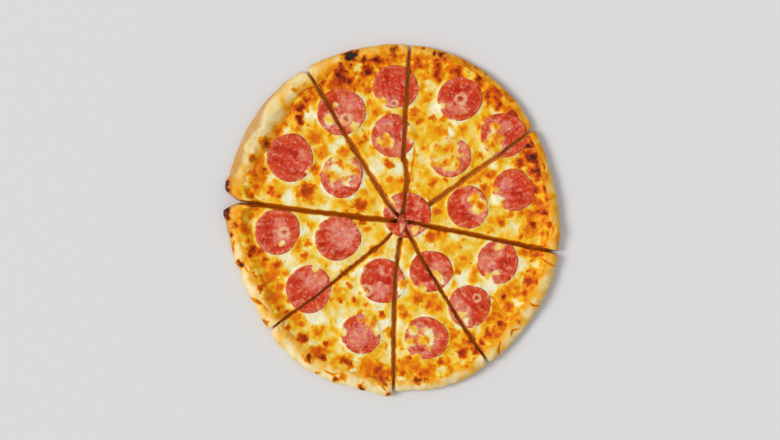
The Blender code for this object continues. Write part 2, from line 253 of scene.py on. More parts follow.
@dataclass(frozen=True)
class Dough:
    """Outline and section of the dough, before it is cut."""

    radius: float = 0.1506
    outline: tuple = (
        (1, 0.0013, 45), (2, 0.0044, 102), (3, 0.0005, 35),
        (4, 0.0013, 66), (6, 0.0006, -6), (7, 0.0005, -21),
    )
    lumps: tuple = ((1, 0.08, 216), (5, 0.06, 0), (9, 0.05, 16), (14, 0.035, 49))
    base: float = 0.0042
    crest: float = 0.0125
    crest_inset: float = 0.35
    equator: float = 0.0045
    underside_inset: float = 0.0040
    underside_gap: float = 0.0008
    cuts: tuple = (
        Cut(-10.2, 0.021, 0.0036, 0.0015, 0.0015, 0.003, (0, 0, -0.4, -0.4, -0.8, -2.4, -3.4)),
        Cut(36.0, 0.015, 0.0034, 0.0010, 0.0045, 0.003, (0, -1.2, -1.6, -2.4, -2.4, -2.8, -2.0)),
        Cut(87.9, 0.022, 0.0036, 0.0015, 0.0015, 0.003, (0, -0.4, -0.8, -3.2, 1.9, 1.2, 0.0)),
        Cut(123.3, 0.026, 0.0036, 0.0030, 0.0030, 0.003, (0, 2.2, 2.8, 2.0, 1.5, 0.4, -2.0)),
        Cut(174.1, 0.026, 0.0042, 0.0090, 0.0090, 0.006, (0, 0.8, 0.8, 0.9, 0.3, -0.5, -1.8)),
        Cut(220.1, 0.026, 0.0024, 0.0020, 0.0020, 0.003, (0, 1.5, 3.2, 3.2, 2.0, 1.6, -1.8)),
        Cut(267.3, 0.026, 0.0036, 0.0015, 0.0020, 0.003, (0, -1.2, -2.0, -4.0, -4.8, -3.7, -1.6)),
        Cut(301.2, 0.024, 0.0030, 0.0015, 0.0025, 0.003, (0, -1.6, -2.0, -3.2, -3.3, -2.8, -0.8)),
    )
    middle_widths: tuple = (0.021, 0.019, 0.025, 0.033, 0.025, 0.028, 0.025, 0.027)

    @staticmethod
    def waves(angle: Array, table: tuple) -> Array:
        """Sum of waves, each with its count in one turn, height and crest heading."""
        return sum(high * np.cos(count * (angle - np.radians(top))) for count, high, top in table)

    def rim_radius(self, angle: Array) -> Array:
        """Distance from the middle of the dough to its edge."""
        return self.radius + self.waves(angle, self.outline)

    def around(self, angle: Array, at_cuts: tuple, at_middles: tuple) -> Array:
        """Ease a value round the rim between the cuts and the middles of the slices.

        Args:
            angle: headings to read it at, in radians.
            at_cuts: its level at each cut.
            at_middles: its level in the middle of each slice.

        Returns:
            One value for each heading.
        """
        headings, levels = [], []
        for number, cut in enumerate(self.cuts):
            turn = (self.cuts[(number + 1) % len(self.cuts)].heading - cut.heading) % 360
            headings += [cut.heading, cut.heading + turn / 2]
            levels += [at_cuts[number], at_middles[number]]
        headings, levels = np.radians(headings), np.array(levels)
        start = headings[0]
        place = (angle - start) % TAU
        stations = np.append(headings - start, TAU)
        levels = np.append(levels, levels[0])
        index = np.clip(np.searchsorted(stations, place, side="right") - 1, 0, len(headings) - 1)
        share = (place - stations[index]) / (stations[index + 1] - stations[index])
        return levels[index] + (levels[index + 1] - levels[index]) * (1 - np.cos(np.pi * share)) / 2

    def rim_width(self, angle: Array) -> Array:
        """Width of the puffed rim."""
        return self.around(angle, tuple(cut.rim for cut in self.cuts), self.middle_widths)

    def height(self, inset: Array, angle: Array) -> Array:
        """Top of the dough.

        Args:
            inset: 0 at the edge and 1 where the rim ends.
            angle: heading of each point.

        Returns:
            One height for each point.
        """
        crest = self.crest * (1 + self.waves(angle, self.lumps))
        back = np.clip((self.crest_inset - inset) / self.crest_inset, 0, 1)
        rise = self.equator + (crest - self.equator) * np.sqrt(1 - back * back)
        share = np.clip((inset - self.crest_inset) / (1 - self.crest_inset), 0, 1)
        fall = self.base + (crest - self.base) * (1 + np.cos(np.pi * share)) / 2
        return np.where(inset < self.crest_inset, rise, fall)


DOUGH = Dough()


def lean(plan: Array) -> Array:
    """Straight cuts moved sideways to where the cuts really run, with what is beside them.

    Args:
        plan: points of the plan with straight cuts.

    Returns:
        Where those points come to lie.
    """
    offset, moved = plan - KNIFE_CENTRE, np.zeros(np.shape(plan), complex)
    for cut in DOUGH.cuts:
        way = ray(np.radians(cut.heading))
        local = offset * np.conj(way)
        stray = np.interp(local.real * 1000, STRAY_AT, cut.stray) / 1000
        spread = np.clip(STRAY_SPREAD[0] + STRAY_WIDENING * local.real, *STRAY_SPREAD)
        moved = moved + 1j * way * stray * smooth(np.abs(local.imag), spread, 0.0)
    return plan + moved


@dataclass(frozen=True)
class Wedge:
    """One slice in plan, between the cut of its number and the next one."""

    number: int

    @property
    def first(self) -> Cut:
        """The cut at its clockwise side."""
        return DOUGH.cuts[self.number]

    @property
    def second(self) -> Cut:
        """The cut at its anticlockwise side."""
        return DOUGH.cuts[(self.number + 1) % len(DOUGH.cuts)]

    @property
    def start(self) -> float:
        """Heading of its first cut, in radians."""
        return np.radians(self.first.heading)

    @property
    def turn(self) -> float:
        """Angle of the slice."""
        return np.radians((self.second.heading - self.first.heading) % 360)

    @property
    def sides(self) -> tuple[tuple[float, bool], tuple[float, bool]]:
        """Heading of each of its cuts, and whether faces of a grid along it are flipped."""
        return (self.start, False), (self.start + self.turn, True)

    def headings(self, count: int) -> Array:
        """So many headings, from its first cut to its second."""
        return self.start + self.turn * np.linspace(0, 1, count)

    def tip(self, first_gap: float, second_gap: float) -> complex:
        """Where its two cut faces meet, each set back by half a gap.

        Args:
            first_gap, second_gap: widths of the two cuts.

        Returns:
            The meeting point.
        """
        first, second = ray(self.start), ray(self.start + self.turn)
        from_first, from_second = 1j * first * first_gap / 2, -1j * second * second_gap / 2
        along = cross(from_second - from_first, second) / cross(first, second)
        return KNIFE_CENTRE + from_first + first * along

    @property
    def apex(self) -> complex:
        """Tip of the slice at its top."""
        return self.tip(self.first.gap, self.second.gap)

    @property
    def foot(self) -> complex:
        """Tip of the slice at its underside."""
        return self.tip(DOUGH.underside_gap, DOUGH.underside_gap)

    def from_cuts(self, plan: Array) -> tuple[Array, Array]:
        """Distance of points from the middle lines of the first and the second cut."""
        offset = plan - KNIFE_CENTRE
        return cross(ray(self.start), offset), -cross(ray(self.start + self.turn), offset)

    def inset(self, plan: Array) -> Array:
        """Distance inside the slice's outer edge, in rim widths."""
        return self.depth(plan) / DOUGH.rim_width(np.angle(plan))

    def depth(self, plan: Array) -> Array:
        """Distance inside the slice's outer edge, whose corners are pulled back.

        Args:
            plan: where to look.

        Returns:
            One distance for each point, below 0 outside.
        """
        first, second = self.from_cuts(plan)
        edge = DOUGH.rim_radius(np.angle(plan))
        edge = edge - self.first.after * np.exp(-(first / self.first.reach) ** 2)
        edge = edge - self.second.before * np.exp(-(second / self.second.reach) ** 2)
        return edge - np.abs(plan)

    def walk(self, origin: complex, heading: Array, inset: Array, extra: Array) -> Array:
        """Distance along a ray from the tip to a depth inside the outer edge.

        Args:
            origin: the tip that the rays start at.
            heading: of each ray, in radians.
            inset: the wanted depth, in rim widths.
            extra: more depth, in metres.

        Returns:
            One distance for each ray.
        """
        heading, inset, extra = np.broadcast_arrays(heading, inset, extra)

        def holds(distance: Array) -> Array:
            """Whether the wanted depth is still farther out."""
            plan = origin + distance * ray(heading)
            return self.depth(plan) > inset * DOUGH.rim_width(np.angle(plan)) + extra

        return farthest(np.full(heading.shape, FARTHEST), holds)

    def fray(self, plan: Array) -> Array:
        """Points near the cuts moved a little to or fro, as soft toppings tear.

        Args:
            plan: points on this slice.

        Returns:
            Where those points come to lie.
        """
        first, second = self.from_cuts(plan)
        near_first = smooth(first - self.first.gap / 2, FRAY_REACH, 0.0)
        near_second = smooth(second - self.second.gap / 2, FRAY_REACH, 0.0)
        inward = near_first * 1j * ray(self.start) - near_second * 1j * ray(self.start + self.turn)
        return plan + FRAY.at(plan) * inward


WEDGES = tuple(Wedge(number) for number in range(len(DOUGH.cuts)))
FRAY = Grain(137, 0.0042, 0.0004, 2)
FRAY_REACH = 0.0025
TOPPING_CIRCLE = 0.12                 # on which the wavering of the toppings' edges is read
CHEESE_WAVES = (Grain(109, 0.022, 0.10, 2), Grain(127, 0.007, 0.07, 2))
# Inset of the cheese's outer edge, in rim widths, and how strongly it is roasted there
CHEESE_AT_CUTS = (0.50, 0.42, 0.42, 0.62, 0.40, 0.50, 0.50, 0.52)
CHEESE_AT_MIDDLES = (0.40, 0.38, 0.42, 0.78, 0.46, 0.52, 0.46, 0.56)
ROAST_AT_CUTS = (0.9, 1.15, 1.1, 0.9, 0.45, 0.4, 0.55, 0.7)
ROAST_AT_MIDDLES = (1.2, 1.1, 1.2, 0.6, 0.55, 0.4, 0.55, 0.65)


def cheese_edge(angle: Array) -> Array:
    """Inset of the outer edge of the cheese, in rim widths, wandering round the pizza."""
    wavy = sum(wave.at(TOPPING_CIRCLE * ray(angle)) for wave in CHEESE_WAVES)
    return DOUGH.around(angle, CHEESE_AT_CUTS, CHEESE_AT_MIDDLES) + wavy


def roast(angle: Array) -> Array:
    """How strongly the cheese is roasted along the rim, round the pizza."""
    return DOUGH.around(angle, ROAST_AT_CUTS, ROAST_AT_MIDDLES)


@dataclass(frozen=True)
class Scorch:
    """A baked spot: its middle and radius in millimetres, and how dark it is.

    Up to 0.5 is an orange patch, 0.8 a brown blister, 1.1 red-brown and 1.5 black.
    """

    x: float
    y: float
    radius: float
    depth: float


SCORCHES = tuple(Scorch(*row) for row in (
    # Slice 1, on the right
    (95, -3, 4, 0.8), (138, -5, 3.5, 0.9), (120, -9, 8, 0.6), (78, 13, 5, 0.9), (128, 15, 6, 0.8),
    (136, 17, 3, 1.0), (81, 28, 5, 0.8), (120, 65, 3.5, 1.5), (119, 57, 4, 1.1), (112, 49, 6, 1.0),
    (123, 42, 5, 1.0), (85, 38, 3.5, 0.9), (38, 6, 5, 0.7), (126, 28, 5, 0.9),
    (104, 6, 5, 0.6), (61, 30, 5, 0.5), (113, 8, 5, 0.8), (52, 15, 4, 0.6),
    # Slice 2
    (27, 150, 2.5, 1.0), (37, 146, 4, 1.4), (43, 145, 3.5, 1.4), (22, 142, 4.5, 0.9),
    (46, 141, 3.5, 1.0), (73, 134, 2.5, 1.0), (40, 129, 7, 0.6), (58, 131, 3.5, 1.1),
    (84, 110, 6, 1.1), (94, 101, 6, 1.1), (91, 113, 3, 0.9), (82, 127, 2, 0.9), (35, 89, 3.5, 0.8),
    (23, 87, 5, 0.7), (19, 95, 5, 0.7), (30, 105, 5, 0.5), (36, 33, 4.5, 0.8), (84, 88, 4.5, 1.0),
    (88, 65, 4, 0.9), (77, 56, 3.5, 0.7), (56, 49, 4, 0.8), (42, 48, 3, 0.8), (38, 63, 4.5, 0.6),
    (46, 60, 5, 0.6), (54, 64, 4, 0.5), (47, 51, 4, 0.7), (58, 53, 3, 0.6), (92, 68, 5, 0.6),
    (91, 82, 4, 0.6), (104, 104, 3, 0.9), (44, 77, 6, 0.45), (62, 80, 5, 0.5), (110, 97, 3, 0.8),
    (51, 123, 5, 0.6),
    # Slice 3, at the top
    (-37.4, 144, 8.5, 1.6), (-25, 140, 3.5, 1.2), (-13, 142, 3.5, 1.1), (-45, 134, 3.5, 1.2),
    (-37, 135, 3, 1.1), (-24, 134, 4.5, 1.1), (2, 149, 4.5, 1.2), (-27, 129, 3, 0.9),
    (-21, 114, 5, 0.8), (-26, 118, 3, 0.8), (-61, 120, 3, 1.0), (-50, 119, 9, 0.85),
    (-15, 95, 4, 0.7), (-24, 72, 4, 0.7), (-3, 49, 4.5, 0.8), (-2, 35, 3, 0.5), (-42, 59, 6, 0.7),
    (-5, 131, 5, 0.6), (-20, 103, 4, 0.5), (-4, 91, 4, 1.0),
    # Slice 4, at the upper left
    (-81, 98, 5.5, 1.2), (-82, 88, 5, 1.3), (-75, 105, 4.5, 1.0), (-111, 67, 6, 1.2),
    (-101, 78, 6, 0.6), (-69, 72, 9, 0.55), (-63, 57, 5, 0.5), (-68, 45, 5, 0.8), (-76, 25, 9, 0.9),
    (-28, 13, 7.5, 0.9), (-58, 38, 4, 0.9), (-31, 43, 3.5, 0.8), (-47, 49, 4, 0.8),
    (-125, 22, 3.5, 0.9), (-107, 27, 4, 0.8), (-116, 37, 7, 0.55), (-123, 53, 4, 0.9),
    (-147, 30, 8, 1.7), (-76, 118, 2, 0.9), (-85, 114, 2.5, 0.7),
    (-118, 52, 7, 0.6), (-72, 112, 4, 0.7),
    # Slice 5, on the left
    (-147, 9, 8, 1.6), (-138, -4, 3.5, 1.0), (-142, -13, 2.5, 1.2), (-131, -6, 6, 0.6),
    (-123, -26, 4.5, 1.2), (-125, -31, 3, 1.5), (-134, -39, 3.5, 1.5),
    (-122, -47, 2, 0.9), (-117, -29, 5, 0.9), (-102, -40, 6, 0.9), (-106, -48, 8, 0.6),
    (-78, -32, 4, 0.8), (-104, -67, 10, 0.6), (-112, -91, 3, 1.0),
    (-84, -84, 5, 0.6), (-28, -2, 5, 0.9), (-22, -8, 4, 0.6), (-75, -21, 4, 0.6),
    (-100, -60, 6, 0.6), (-116, -60, 3, 0.9), (-16, -27, 5, 0.9), (-42, -47, 4, 1.0),
    (-125, 3, 4, 0.7), (-112, -36, 4, 0.9),
    (-146, 6.5, 8, 1.7),
    # Slice 6, at the lower left
    (-79, -104, 5.5, 1.1), (-92, -95, 3, 0.8), (-73, -121, 4.5, 1.3), (-61, -122, 4, 1.2),
    (-66, -118, 8, 0.8), (-58, -109, 3, 1.0), (-42, -124, 5, 1.0), (-37, -128, 4, 0.9),
    (-13, -133, 6, 1.0), (-9, -141, 4, 1.1), (-27, -148, 4, 1.4), (-51, -140, 3.5, 1.2),
    (-44, -138, 5, 0.7), (-66, -135, 2, 0.9), (-4, -151, 3, 1.0), (-22, -130, 10, 0.55),
    (-35, -90, 3, 1.1), (-28, -83, 4, 0.9), (-17, -90, 5, 0.7), (-10, -83, 2.2, 0.9),
    (-46, -70, 3, 0.8), (-34, -71, 2.5, 0.8), (-38, -58, 2.5, 0.7), (-23, -61, 3, 1.0),
    (-3, -99, 5, 0.6), (-49, -62, 4, 0.45), (-23, -75, 3, 0.5),
    # Slice 7, at the bottom
    (22, -142, 5, 1.2), (29, -141, 3, 1.0), (19, -130, 8, 0.6), (10, -135, 4, 0.8),
    (11, -84, 5, 0.7), (23, -69, 6, 0.7), (33, -75, 5, 0.7), (53, -101, 6, 0.65), (62, -117, 5, 1.1),
    (42, -125, 4, 0.9), (30, -106, 3, 0.9), (20, -106, 3, 1.0), (65, -128, 2.5, 1.0), (9, -57, 5, 0.6),
    (75, -115, 4.5, 1.1), (80, -109, 3.5, 1.0), (34, -131, 5, 0.6), (47, -111, 5, 0.6),
    # Slice 8, at the lower right
    (33, -15, 6, 0.8), (40, -11, 4, 0.7), (120, -54, 6, 1.0), (124, -46, 4, 0.6),
    (102, -77, 5, 0.7), (90, -77, 4, 0.6), (96, -92, 4, 1.1),
    (84, -101, 5, 1.0), (50, -46, 5, 0.8), (57, -45, 4, 0.7), (77, -42, 3.5, 0.8),
    (62, -34, 4, 0.5), (88, -98, 4, 0.8), (131, -30, 5, 0.5), (111, -90, 3, 0.8), (110, -66, 5, 0.5),
))

# Creases and tears: x and y of three points, the width in millimetres, and how dark
CREASES = (
    (120, -73, 124, -76, 129, -76, 1.6, 0.9), (104.7, -102.4, 106, -97, 112.5, -95.7, 1.5, 0.9),
    (95, -107, 93.5, -113, 94.3, -119.6, 1.8, 0.9), (131, -34, 138, -39, 144, -41.7, 1.8, 0.75),
    (136, -3, 141, -7, 140, -14, 1.6, 0.75), (135, -9, 137, -14, 136, -18, 1.4, 0.7),
    (132, 50, 133.5, 48, 134, 44, 1.8, 0.95), (77.6, 129, 80, 128, 82, 124, 1.4, 0.8),
    (28, -138, 32, -141, 31, -146, 1.4, 0.8), (-139.5, -19, -141, -25, -140.4, -31, 2.2, 0.95),
    (-126, -69, -120, -72, -114, -75, 2.8, 1.05), (-116, -74, -112, -77, -109, -80, 1.5, 0.8),
    (-116, -65, -114, -58, -108, -54, 1.6, 0.8), (19.6, 68, 19.0, 54, 16.2, 39, 1.4, 0.62),
    (-143, -8, -138, -6, -131, -8, 1.6, 0.8), (-134, -37, -128, -45, -119, -50, 1.4, 0.6),
    (-8, -20, -35, -42.5, -68, -69, 3.4, 0.56),
    (84, -66, 90, -70, 94, -78, 1.4, 0.5), (-60, -133, -52, -136, -47, -134, 1.5, 0.8),
    (-20, -137, -13, -140, -6, -147, 1.8, 0.8),
)

# Pale curds of cheese: x and y of the middle and the radius, in millimetres
CURDS = (
    (-72, 91, 8), (-108, 37, 5), (-91, 17, 7), (-31, 31, 7), (-15, 47, 9), (-55, 82, 5),
    (-45, 68, 5), (33, 118, 7), (4, 45, 9), (18, 63, 5), (38, 95, 7), (59, 84, 6), (89, 97, 4),
    (92, 17, 6), (48, 78, 6), (90, 48, 5), (-79, -10, 6), (-94, -34, 7), (-70, 5, 6), (-67, -86, 8),
    (-47, -90, 6), (-44, -113, 8), (-28, -122, 7), (-7, -93, 6), (-14, -75, 7), (-32, -46, 7),
    (-50, -42, 5), (56, -13, 6), (60, -51, 8), (87, -58, 6), (88, -77, 5), (114, -38, 7),
    (5, -95, 6), (47, -58, 5), (7, -141, 6), (9, -62, 6), (-60, 3, 5), (-35, -130, 5), (77, -60, 5),
    (15.8, 62, 4), (14.6, 54, 3.5), (14.4, 46, 3), (-60, 27, 6), (-38, 20, 6), (-52, 62, 5),
    (-57, 128, 6),
)

# Unevenness of creases, of baked spots and of curds
CREASE_BEND, CREASE_FADE = Grain(149, 0.009, 0.0005), Grain(173, 0.006, 0.5)
CREASE_STRENGTH = 0.85                # of a crease on average
CREASE_FAINTEST = 0.3                 # and where it fades most
CREASE_TAPER = 0.6                    # how much narrower a crease is at its ends
CREASE_SOFTNESS = 1.4                 # its half width with its soft edge, in its widths
SCORCH_BENDS = (Grain(43, 0.007, 0.0019), Grain(53, 0.0028, 0.0010))
SCORCH_EDGE = Grain(41, 0.004, 0.24, 2)
SCORCH_SPREAD = 1.4                   # a spot with its soft edge, against its core
SCORCH_MARGIN = 0.3                   # how far beyond that its ragged edge reaches, in radii
SCORCH_SOFTNESS = 0.9
CHAR_EDGE = 0.3                       # how dark a spot has to be to hide what it lies on
CURD_BEND = Grain(61, 0.009, 0.0028)
CURD_SPREAD = 1.3
CURD_SOFTNESS = 0.7


def closeness(plan: Array, x: float, y: float, radius: float) -> Array:
    """1 at the middle of a disc given in millimetres, 0 at its edge and below 0 beyond."""
    return 1 - np.abs(plan - complex(x, y) / 1000) / (radius / 1000)


def crease(plan: Array) -> Array:
    """Creases in the rim and tears in the cheese.

    Args:
        plan: points on the pizza as it lies.

    Returns:
        How dark and deep they are at each point, 0 beside them.
    """
    bent, deep = CREASE_BEND.bend(plan), np.zeros(plan.shape)
    for *ends, width, dark in CREASES:
        points = np.array(ends[0::2]) / 1000 + 1j * np.array(ends[1::2]) / 1000
        for leg, (start, end) in enumerate(zip(points, points[1:])):
            run = end - start
            share = np.clip(((bent - start) * np.conj(run)).real / abs(run) ** 2, 0, 1)
            taper = 1 - CREASE_TAPER * np.abs(leg + share - 1) ** 2
            away = np.abs(bent - start - share * run) / (width / 1000 * taper)
            deep = np.maximum(deep, dark * smooth(away, CREASE_SOFTNESS, 0.0))
    return deep * np.clip(CREASE_STRENGTH + CREASE_FADE.at(plan), CREASE_FAINTEST, 1.0)


def scorch(plan: Array) -> Array:
    """Baked spots, soft and uneven at their edges.

    Args:
        plan: points on the pizza as it lies.

    Returns:
        How dark they are at each point, 0 beside them.
    """
    bent, ragged = plan, SCORCH_EDGE.at(plan)
    for grain in SCORCH_BENDS:
        bent = grain.bend(bent)
    dark = np.zeros(plan.shape)
    for spot in SCORCHES:
        near = closeness(bent, spot.x, spot.y, spot.radius * SCORCH_SPREAD)
        if near.max() > -SCORCH_MARGIN:
            dark = np.maximum(dark, spot.depth * smooth(near + ragged, 0.0, SCORCH_SOFTNESS))
    return dark


def curd(plan: Array) -> Array:
    """Pale curds of cheese.

    Args:
        plan: points on the pizza as it lies.

    Returns:
        How much of a curd lies at each point, from 0 to 1.
    """
    bent, pale = CURD_BEND.bend(plan), np.zeros(plan.shape)
    for x, y, radius in CURDS:
        near = closeness(bent, x, y, radius * CURD_SPREAD)
        if near.max() > 0:
            pale = np.maximum(pale, smooth(near, 0.0, CURD_SOFTNESS))
    return pale


def charred(bake: Array, dark: Array, least: float, rise: float) -> Array:
    """How baked a layer is with dark spots on it: the faintest by least, darker ones by more."""
    return bake + smooth(dark, 0.0, CHAR_EDGE) * (np.maximum(bake, least + rise * dark) - bake)


# Meshes

def grid_faces(rows: int, columns: int, flip: bool = False) -> Array:
    """Quads of a grid whose rows run outward and whose columns run anticlockwise.

    Args:
        rows, columns: how many points lie each way.
        flip: whether the faces look down.

    Returns:
        Four point numbers for each quad.
    """
    index = np.arange(rows * columns).reshape(rows, columns)
    quads = np.stack([index[:-1, :-1], index[1:, :-1], index[1:, 1:], index[:-1, 1:]], axis=-1)
    quads = quads.reshape(-1, 4)
    return quads[:, ::-1] if flip else quads


def fan_faces(rings: int) -> Array:
    """Triangles of a fan in which ring k has k + 1 points, from one point outward.

    Args:
        rings: how many rings follow the first point.

    Returns:
        Three point numbers for each triangle.
    """
    triangles = []
    for ring in range(rings):
        inner = ring * (ring + 1) // 2 + np.arange(ring + 1)
        outer = (ring + 1) * (ring + 2) // 2 + np.arange(ring + 2)
        triangles.append(np.stack([inner, outer[:-1], outer[1:]], axis=-1))
        triangles.append(np.stack([inner[:-1], outer[1:-1], inner[1:]], axis=-1))
    return np.concatenate(triangles)


class Surface:
    """Patches of points and faces that become one mesh, with named values at each point."""

    def __init__(self) -> None:
        """Start with no patch."""
        self.points: list[Array] = []
        self.faces: list[list[int]] = []
        self.values: list[tuple[int, int, dict[str, Array]]] = []
        self.count = 0

    def patch(self, plan: Array, height: Array, faces: Array, **values: Array | float) -> None:
        """Add a patch.

        Args:
            plan: plan points in any array shape.
            height: their heights.
            faces: point numbers of each face, counted within the patch.
            values: what to store at each point, by name.
        """
        plan, height = np.broadcast_arrays(plan, height)
        placed = (plan + OUTLINE_SHIFT).ravel()
        self.points.append(np.column_stack((placed.real, placed.imag, height.ravel())))
        self.faces += (faces + self.count).tolist()
        self.values.append((self.count, placed.size, values))
        self.count += placed.size

    def build(self, name: str, weld: float = 0.0) -> bpy.types.Object:
        """Make the object.

        Args:
            name: of the object and its mesh.
            weld: points closer than this become one, or 0 for none.

        Returns:
            The object, in the scene's collection.
        """
        mesh = bpy.data.meshes.new(name)
        mesh.from_pydata(np.concatenate(self.points).tolist(), [], self.faces)
        for label in sorted({label for _, _, values in self.values for label in values}):
            column = np.zeros(self.count, np.float32)
            for start, size, values in self.values:
                value = values.get(label, 0.0)
                column[start:start + size] = np.ravel(value) if np.size(value) == size else value
            mesh.attributes.new(label, "FLOAT", "POINT").data.foreach_set("value", column)
        mesh.shade_smooth()
        piece = bpy.data.objects.new(name, mesh)
        bpy.context.scene.collection.objects.link(piece)
        if weld:
            modifier = piece.modifiers.new("weld", "WELD")
            modifier.merge_threshold = weld
        return piece


# Shading

@dataclass(frozen=True)
class Tone:
    """A colour as a screen shows it, each channel from 0 to 255."""

    red: int
    green: int
    blue: int

    def rgba(self) -> tuple[float, float, float, float]:
        """The same colour in linear light.

        Returns:
            Its three channels from 0 to 1, and full opacity.
        """
        shares = np.array((self.red, self.green, self.blue)) / 255
        linear = np.where(shares <= 0.04045, shares / 12.92, ((shares + 0.055) / 1.055) ** 2.4)
        return (*map(float, linear), 1.0)


class Shade:
    """An output socket whose arithmetic adds Math nodes to its graph."""

    def __init__(self, graph: "Graph", socket: bpy.types.NodeSocket) -> None:
        """Wrap a socket of a graph."""
        self.graph = graph
        self.socket = socket

    def __add__(self, other: "Shade | float") -> "Shade":
        """Sum."""
        return self.graph.math("ADD", self, other)

    __radd__ = __add__

    def __mul__(self, other: "Shade | float") -> "Shade":
        """Product."""
        return self.graph.math("MULTIPLY", self, other)

    __rmul__ = __mul__

    def __sub__(self, other: "Shade | float") -> "Shade":
        """Difference."""
        return self.graph.math("SUBTRACT", self, other)

    def __rsub__(self, other: float) -> "Shade":
        """Difference from a number."""
        return self.graph.math("SUBTRACT", other, self)

    def eased(self, low: float, high: float) -> "Shade":
        """Ease from 0 at one value to 1 at the other.

        Args:
            low, high: the two values, the lower one first.

        Returns:
            The eased share.
        """
        node = self.graph.node(
            "ShaderNodeMapRange",
            {"interpolation_type": "SMOOTHSTEP"},
            {"Value": self, "From Min": low, "From Max": high},
        )
        return Shade(self.graph, node.outputs[0])


class Graph:
    """The nodes of one material."""

    def __init__(self, name: str) -> None:
        """Start a material with a Principled shader.

        Args:
            name: of the material.
        """
        self.material = bpy.data.materials.new(name)
        self.material.use_nodes = True
        self.tree = self.material.node_tree
        self.shader = self.tree.nodes["Principled BSDF"]

    def put(self, node: bpy.types.Node, name: str, value: "Shade | float | tuple") -> None:
        """Set a node's input to a value or a link.

        Args:
            node: whose input it is.
            name: the input's identifier or name.
            value: a number, a tuple or an output to link.
        """
        socket = next(s for s in node.inputs if name in (s.identifier, s.name))
        if isinstance(value, Shade):
            self.tree.links.new(value.socket, socket)
        else:
            socket.default_value = value

    def node(
        self, kind: str, settings: dict | None = None, values: dict | None = None
    ) -> bpy.types.Node:
        """Add a node.

        Args:
            kind: the node's type.
            settings: its properties, set first; stops are a ramp's places and tones.
            values: a value or a link for each input, by identifier or name.

        Returns:
            The new node.
        """
        node = self.tree.nodes.new(kind)
        for name, setting in (settings or {}).items():
            if name == "stops":
                self.set_stops(node.color_ramp.elements, setting)
            else:
                setattr(node, name, setting)
        for name, value in (values or {}).items():
            self.put(node, name, value)
        return node

    @staticmethod
    def set_stops(elements: bpy.types.ColorRampElements, stops: tuple) -> None:
        """Give a new ramp its stops.

        Args:
            elements: of the ramp, which starts with two.
            stops: a place from 0 to 1 and a tone for each, in order.
        """
        for place, _ in stops[1:-1]:
            elements.new(place)
        for element, (place, tone) in zip(elements, stops):
            element.position = place
            element.color = tone.rgba()

    def ramp(self, factor: Shade, stops: tuple) -> Shade:
        """Colours along a value from 0 to 1."""
        node = self.node("ShaderNodeValToRGB", {"stops": stops}, {"Fac": factor})
        return Shade(self, node.outputs["Color"])

    def math(self, operation: str, first: "Shade | float", second: "Shade | float") -> Shade:
        """One Math node on two values.

        Args:
            operation: the node's operation.
            first, second: its values.

        Returns:
            Its result.
        """
        node = self.node(
            "ShaderNodeMath", {"operation": operation}, {"Value": first, "Value_001": second}
        )
        return Shade(self, node.outputs[0])

    def attribute(self, name: str) -> Shade:
        """A value stored at the mesh's points."""
        return Shade(self, self.node("ShaderNodeAttribute", {"attribute_name": name}).outputs["Fac"])

    def noise(self, size: float, detail: float = 3.0, rough: float = 0.55) -> Shade:
        """Noise fixed to the object.

        Args:
            size: of its features, in metres.
            detail: how many finer layers it has.
            rough: how strong those are.

        Returns:
            The noise, from 0 to 1.
        """
        place = self.node("ShaderNodeTexCoord").outputs["Object"]
        node = self.node(
            "ShaderNodeTexNoise",
            {"noise_dimensions": "3D"},
            {"Scale": 1 / size, "Detail": detail, "Roughness": rough, "Vector": Shade(self, place)},
        )
        return Shade(self, node.outputs[0])

    def mix(self, factor: "Shade | float", first: "Shade | Tone", second: "Shade | Tone") -> Shade:
        """Blend two colours.

        Args:
            factor: 0 for the first colour and 1 for the second.
            first, second: the colours.

        Returns:
            The blended colour.
        """
        ends = [end.rgba() if isinstance(end, Tone) else end for end in (first, second)]
        node = self.node(
            "ShaderNodeMix",
            {"data_type": "RGBA"},
            {"Factor_Float": factor, "A_Color": ends[0], "B_Color": ends[1]},
        )
        return Shade(self, next(s for s in node.outputs if s.identifier == "Result_Color"))

    def bump(self, height: Shade, distance: float, strength: float = 1.0) -> Shade:
        """Normals of a fine relief.

        Args:
            height: the relief.
            distance: how high 1 stands, in metres.
            strength: how much of it is kept.

        Returns:
            The normals.
        """
        node = self.node(
            "ShaderNodeBump", None, {"Height": height, "Distance": distance, "Strength": strength}
        )
        return Shade(self, node.outputs["Normal"])

    def shade(self, **inputs: "Shade | float | tuple") -> bpy.types.Material:
        """Finish the material.

        Args:
            inputs: of the shader, by names that have underscores for spaces.

        Returns:
            The material.
        """
        for name, value in inputs.items():
            self.put(self.shader, name.replace("_", " "), value)
        return self.material


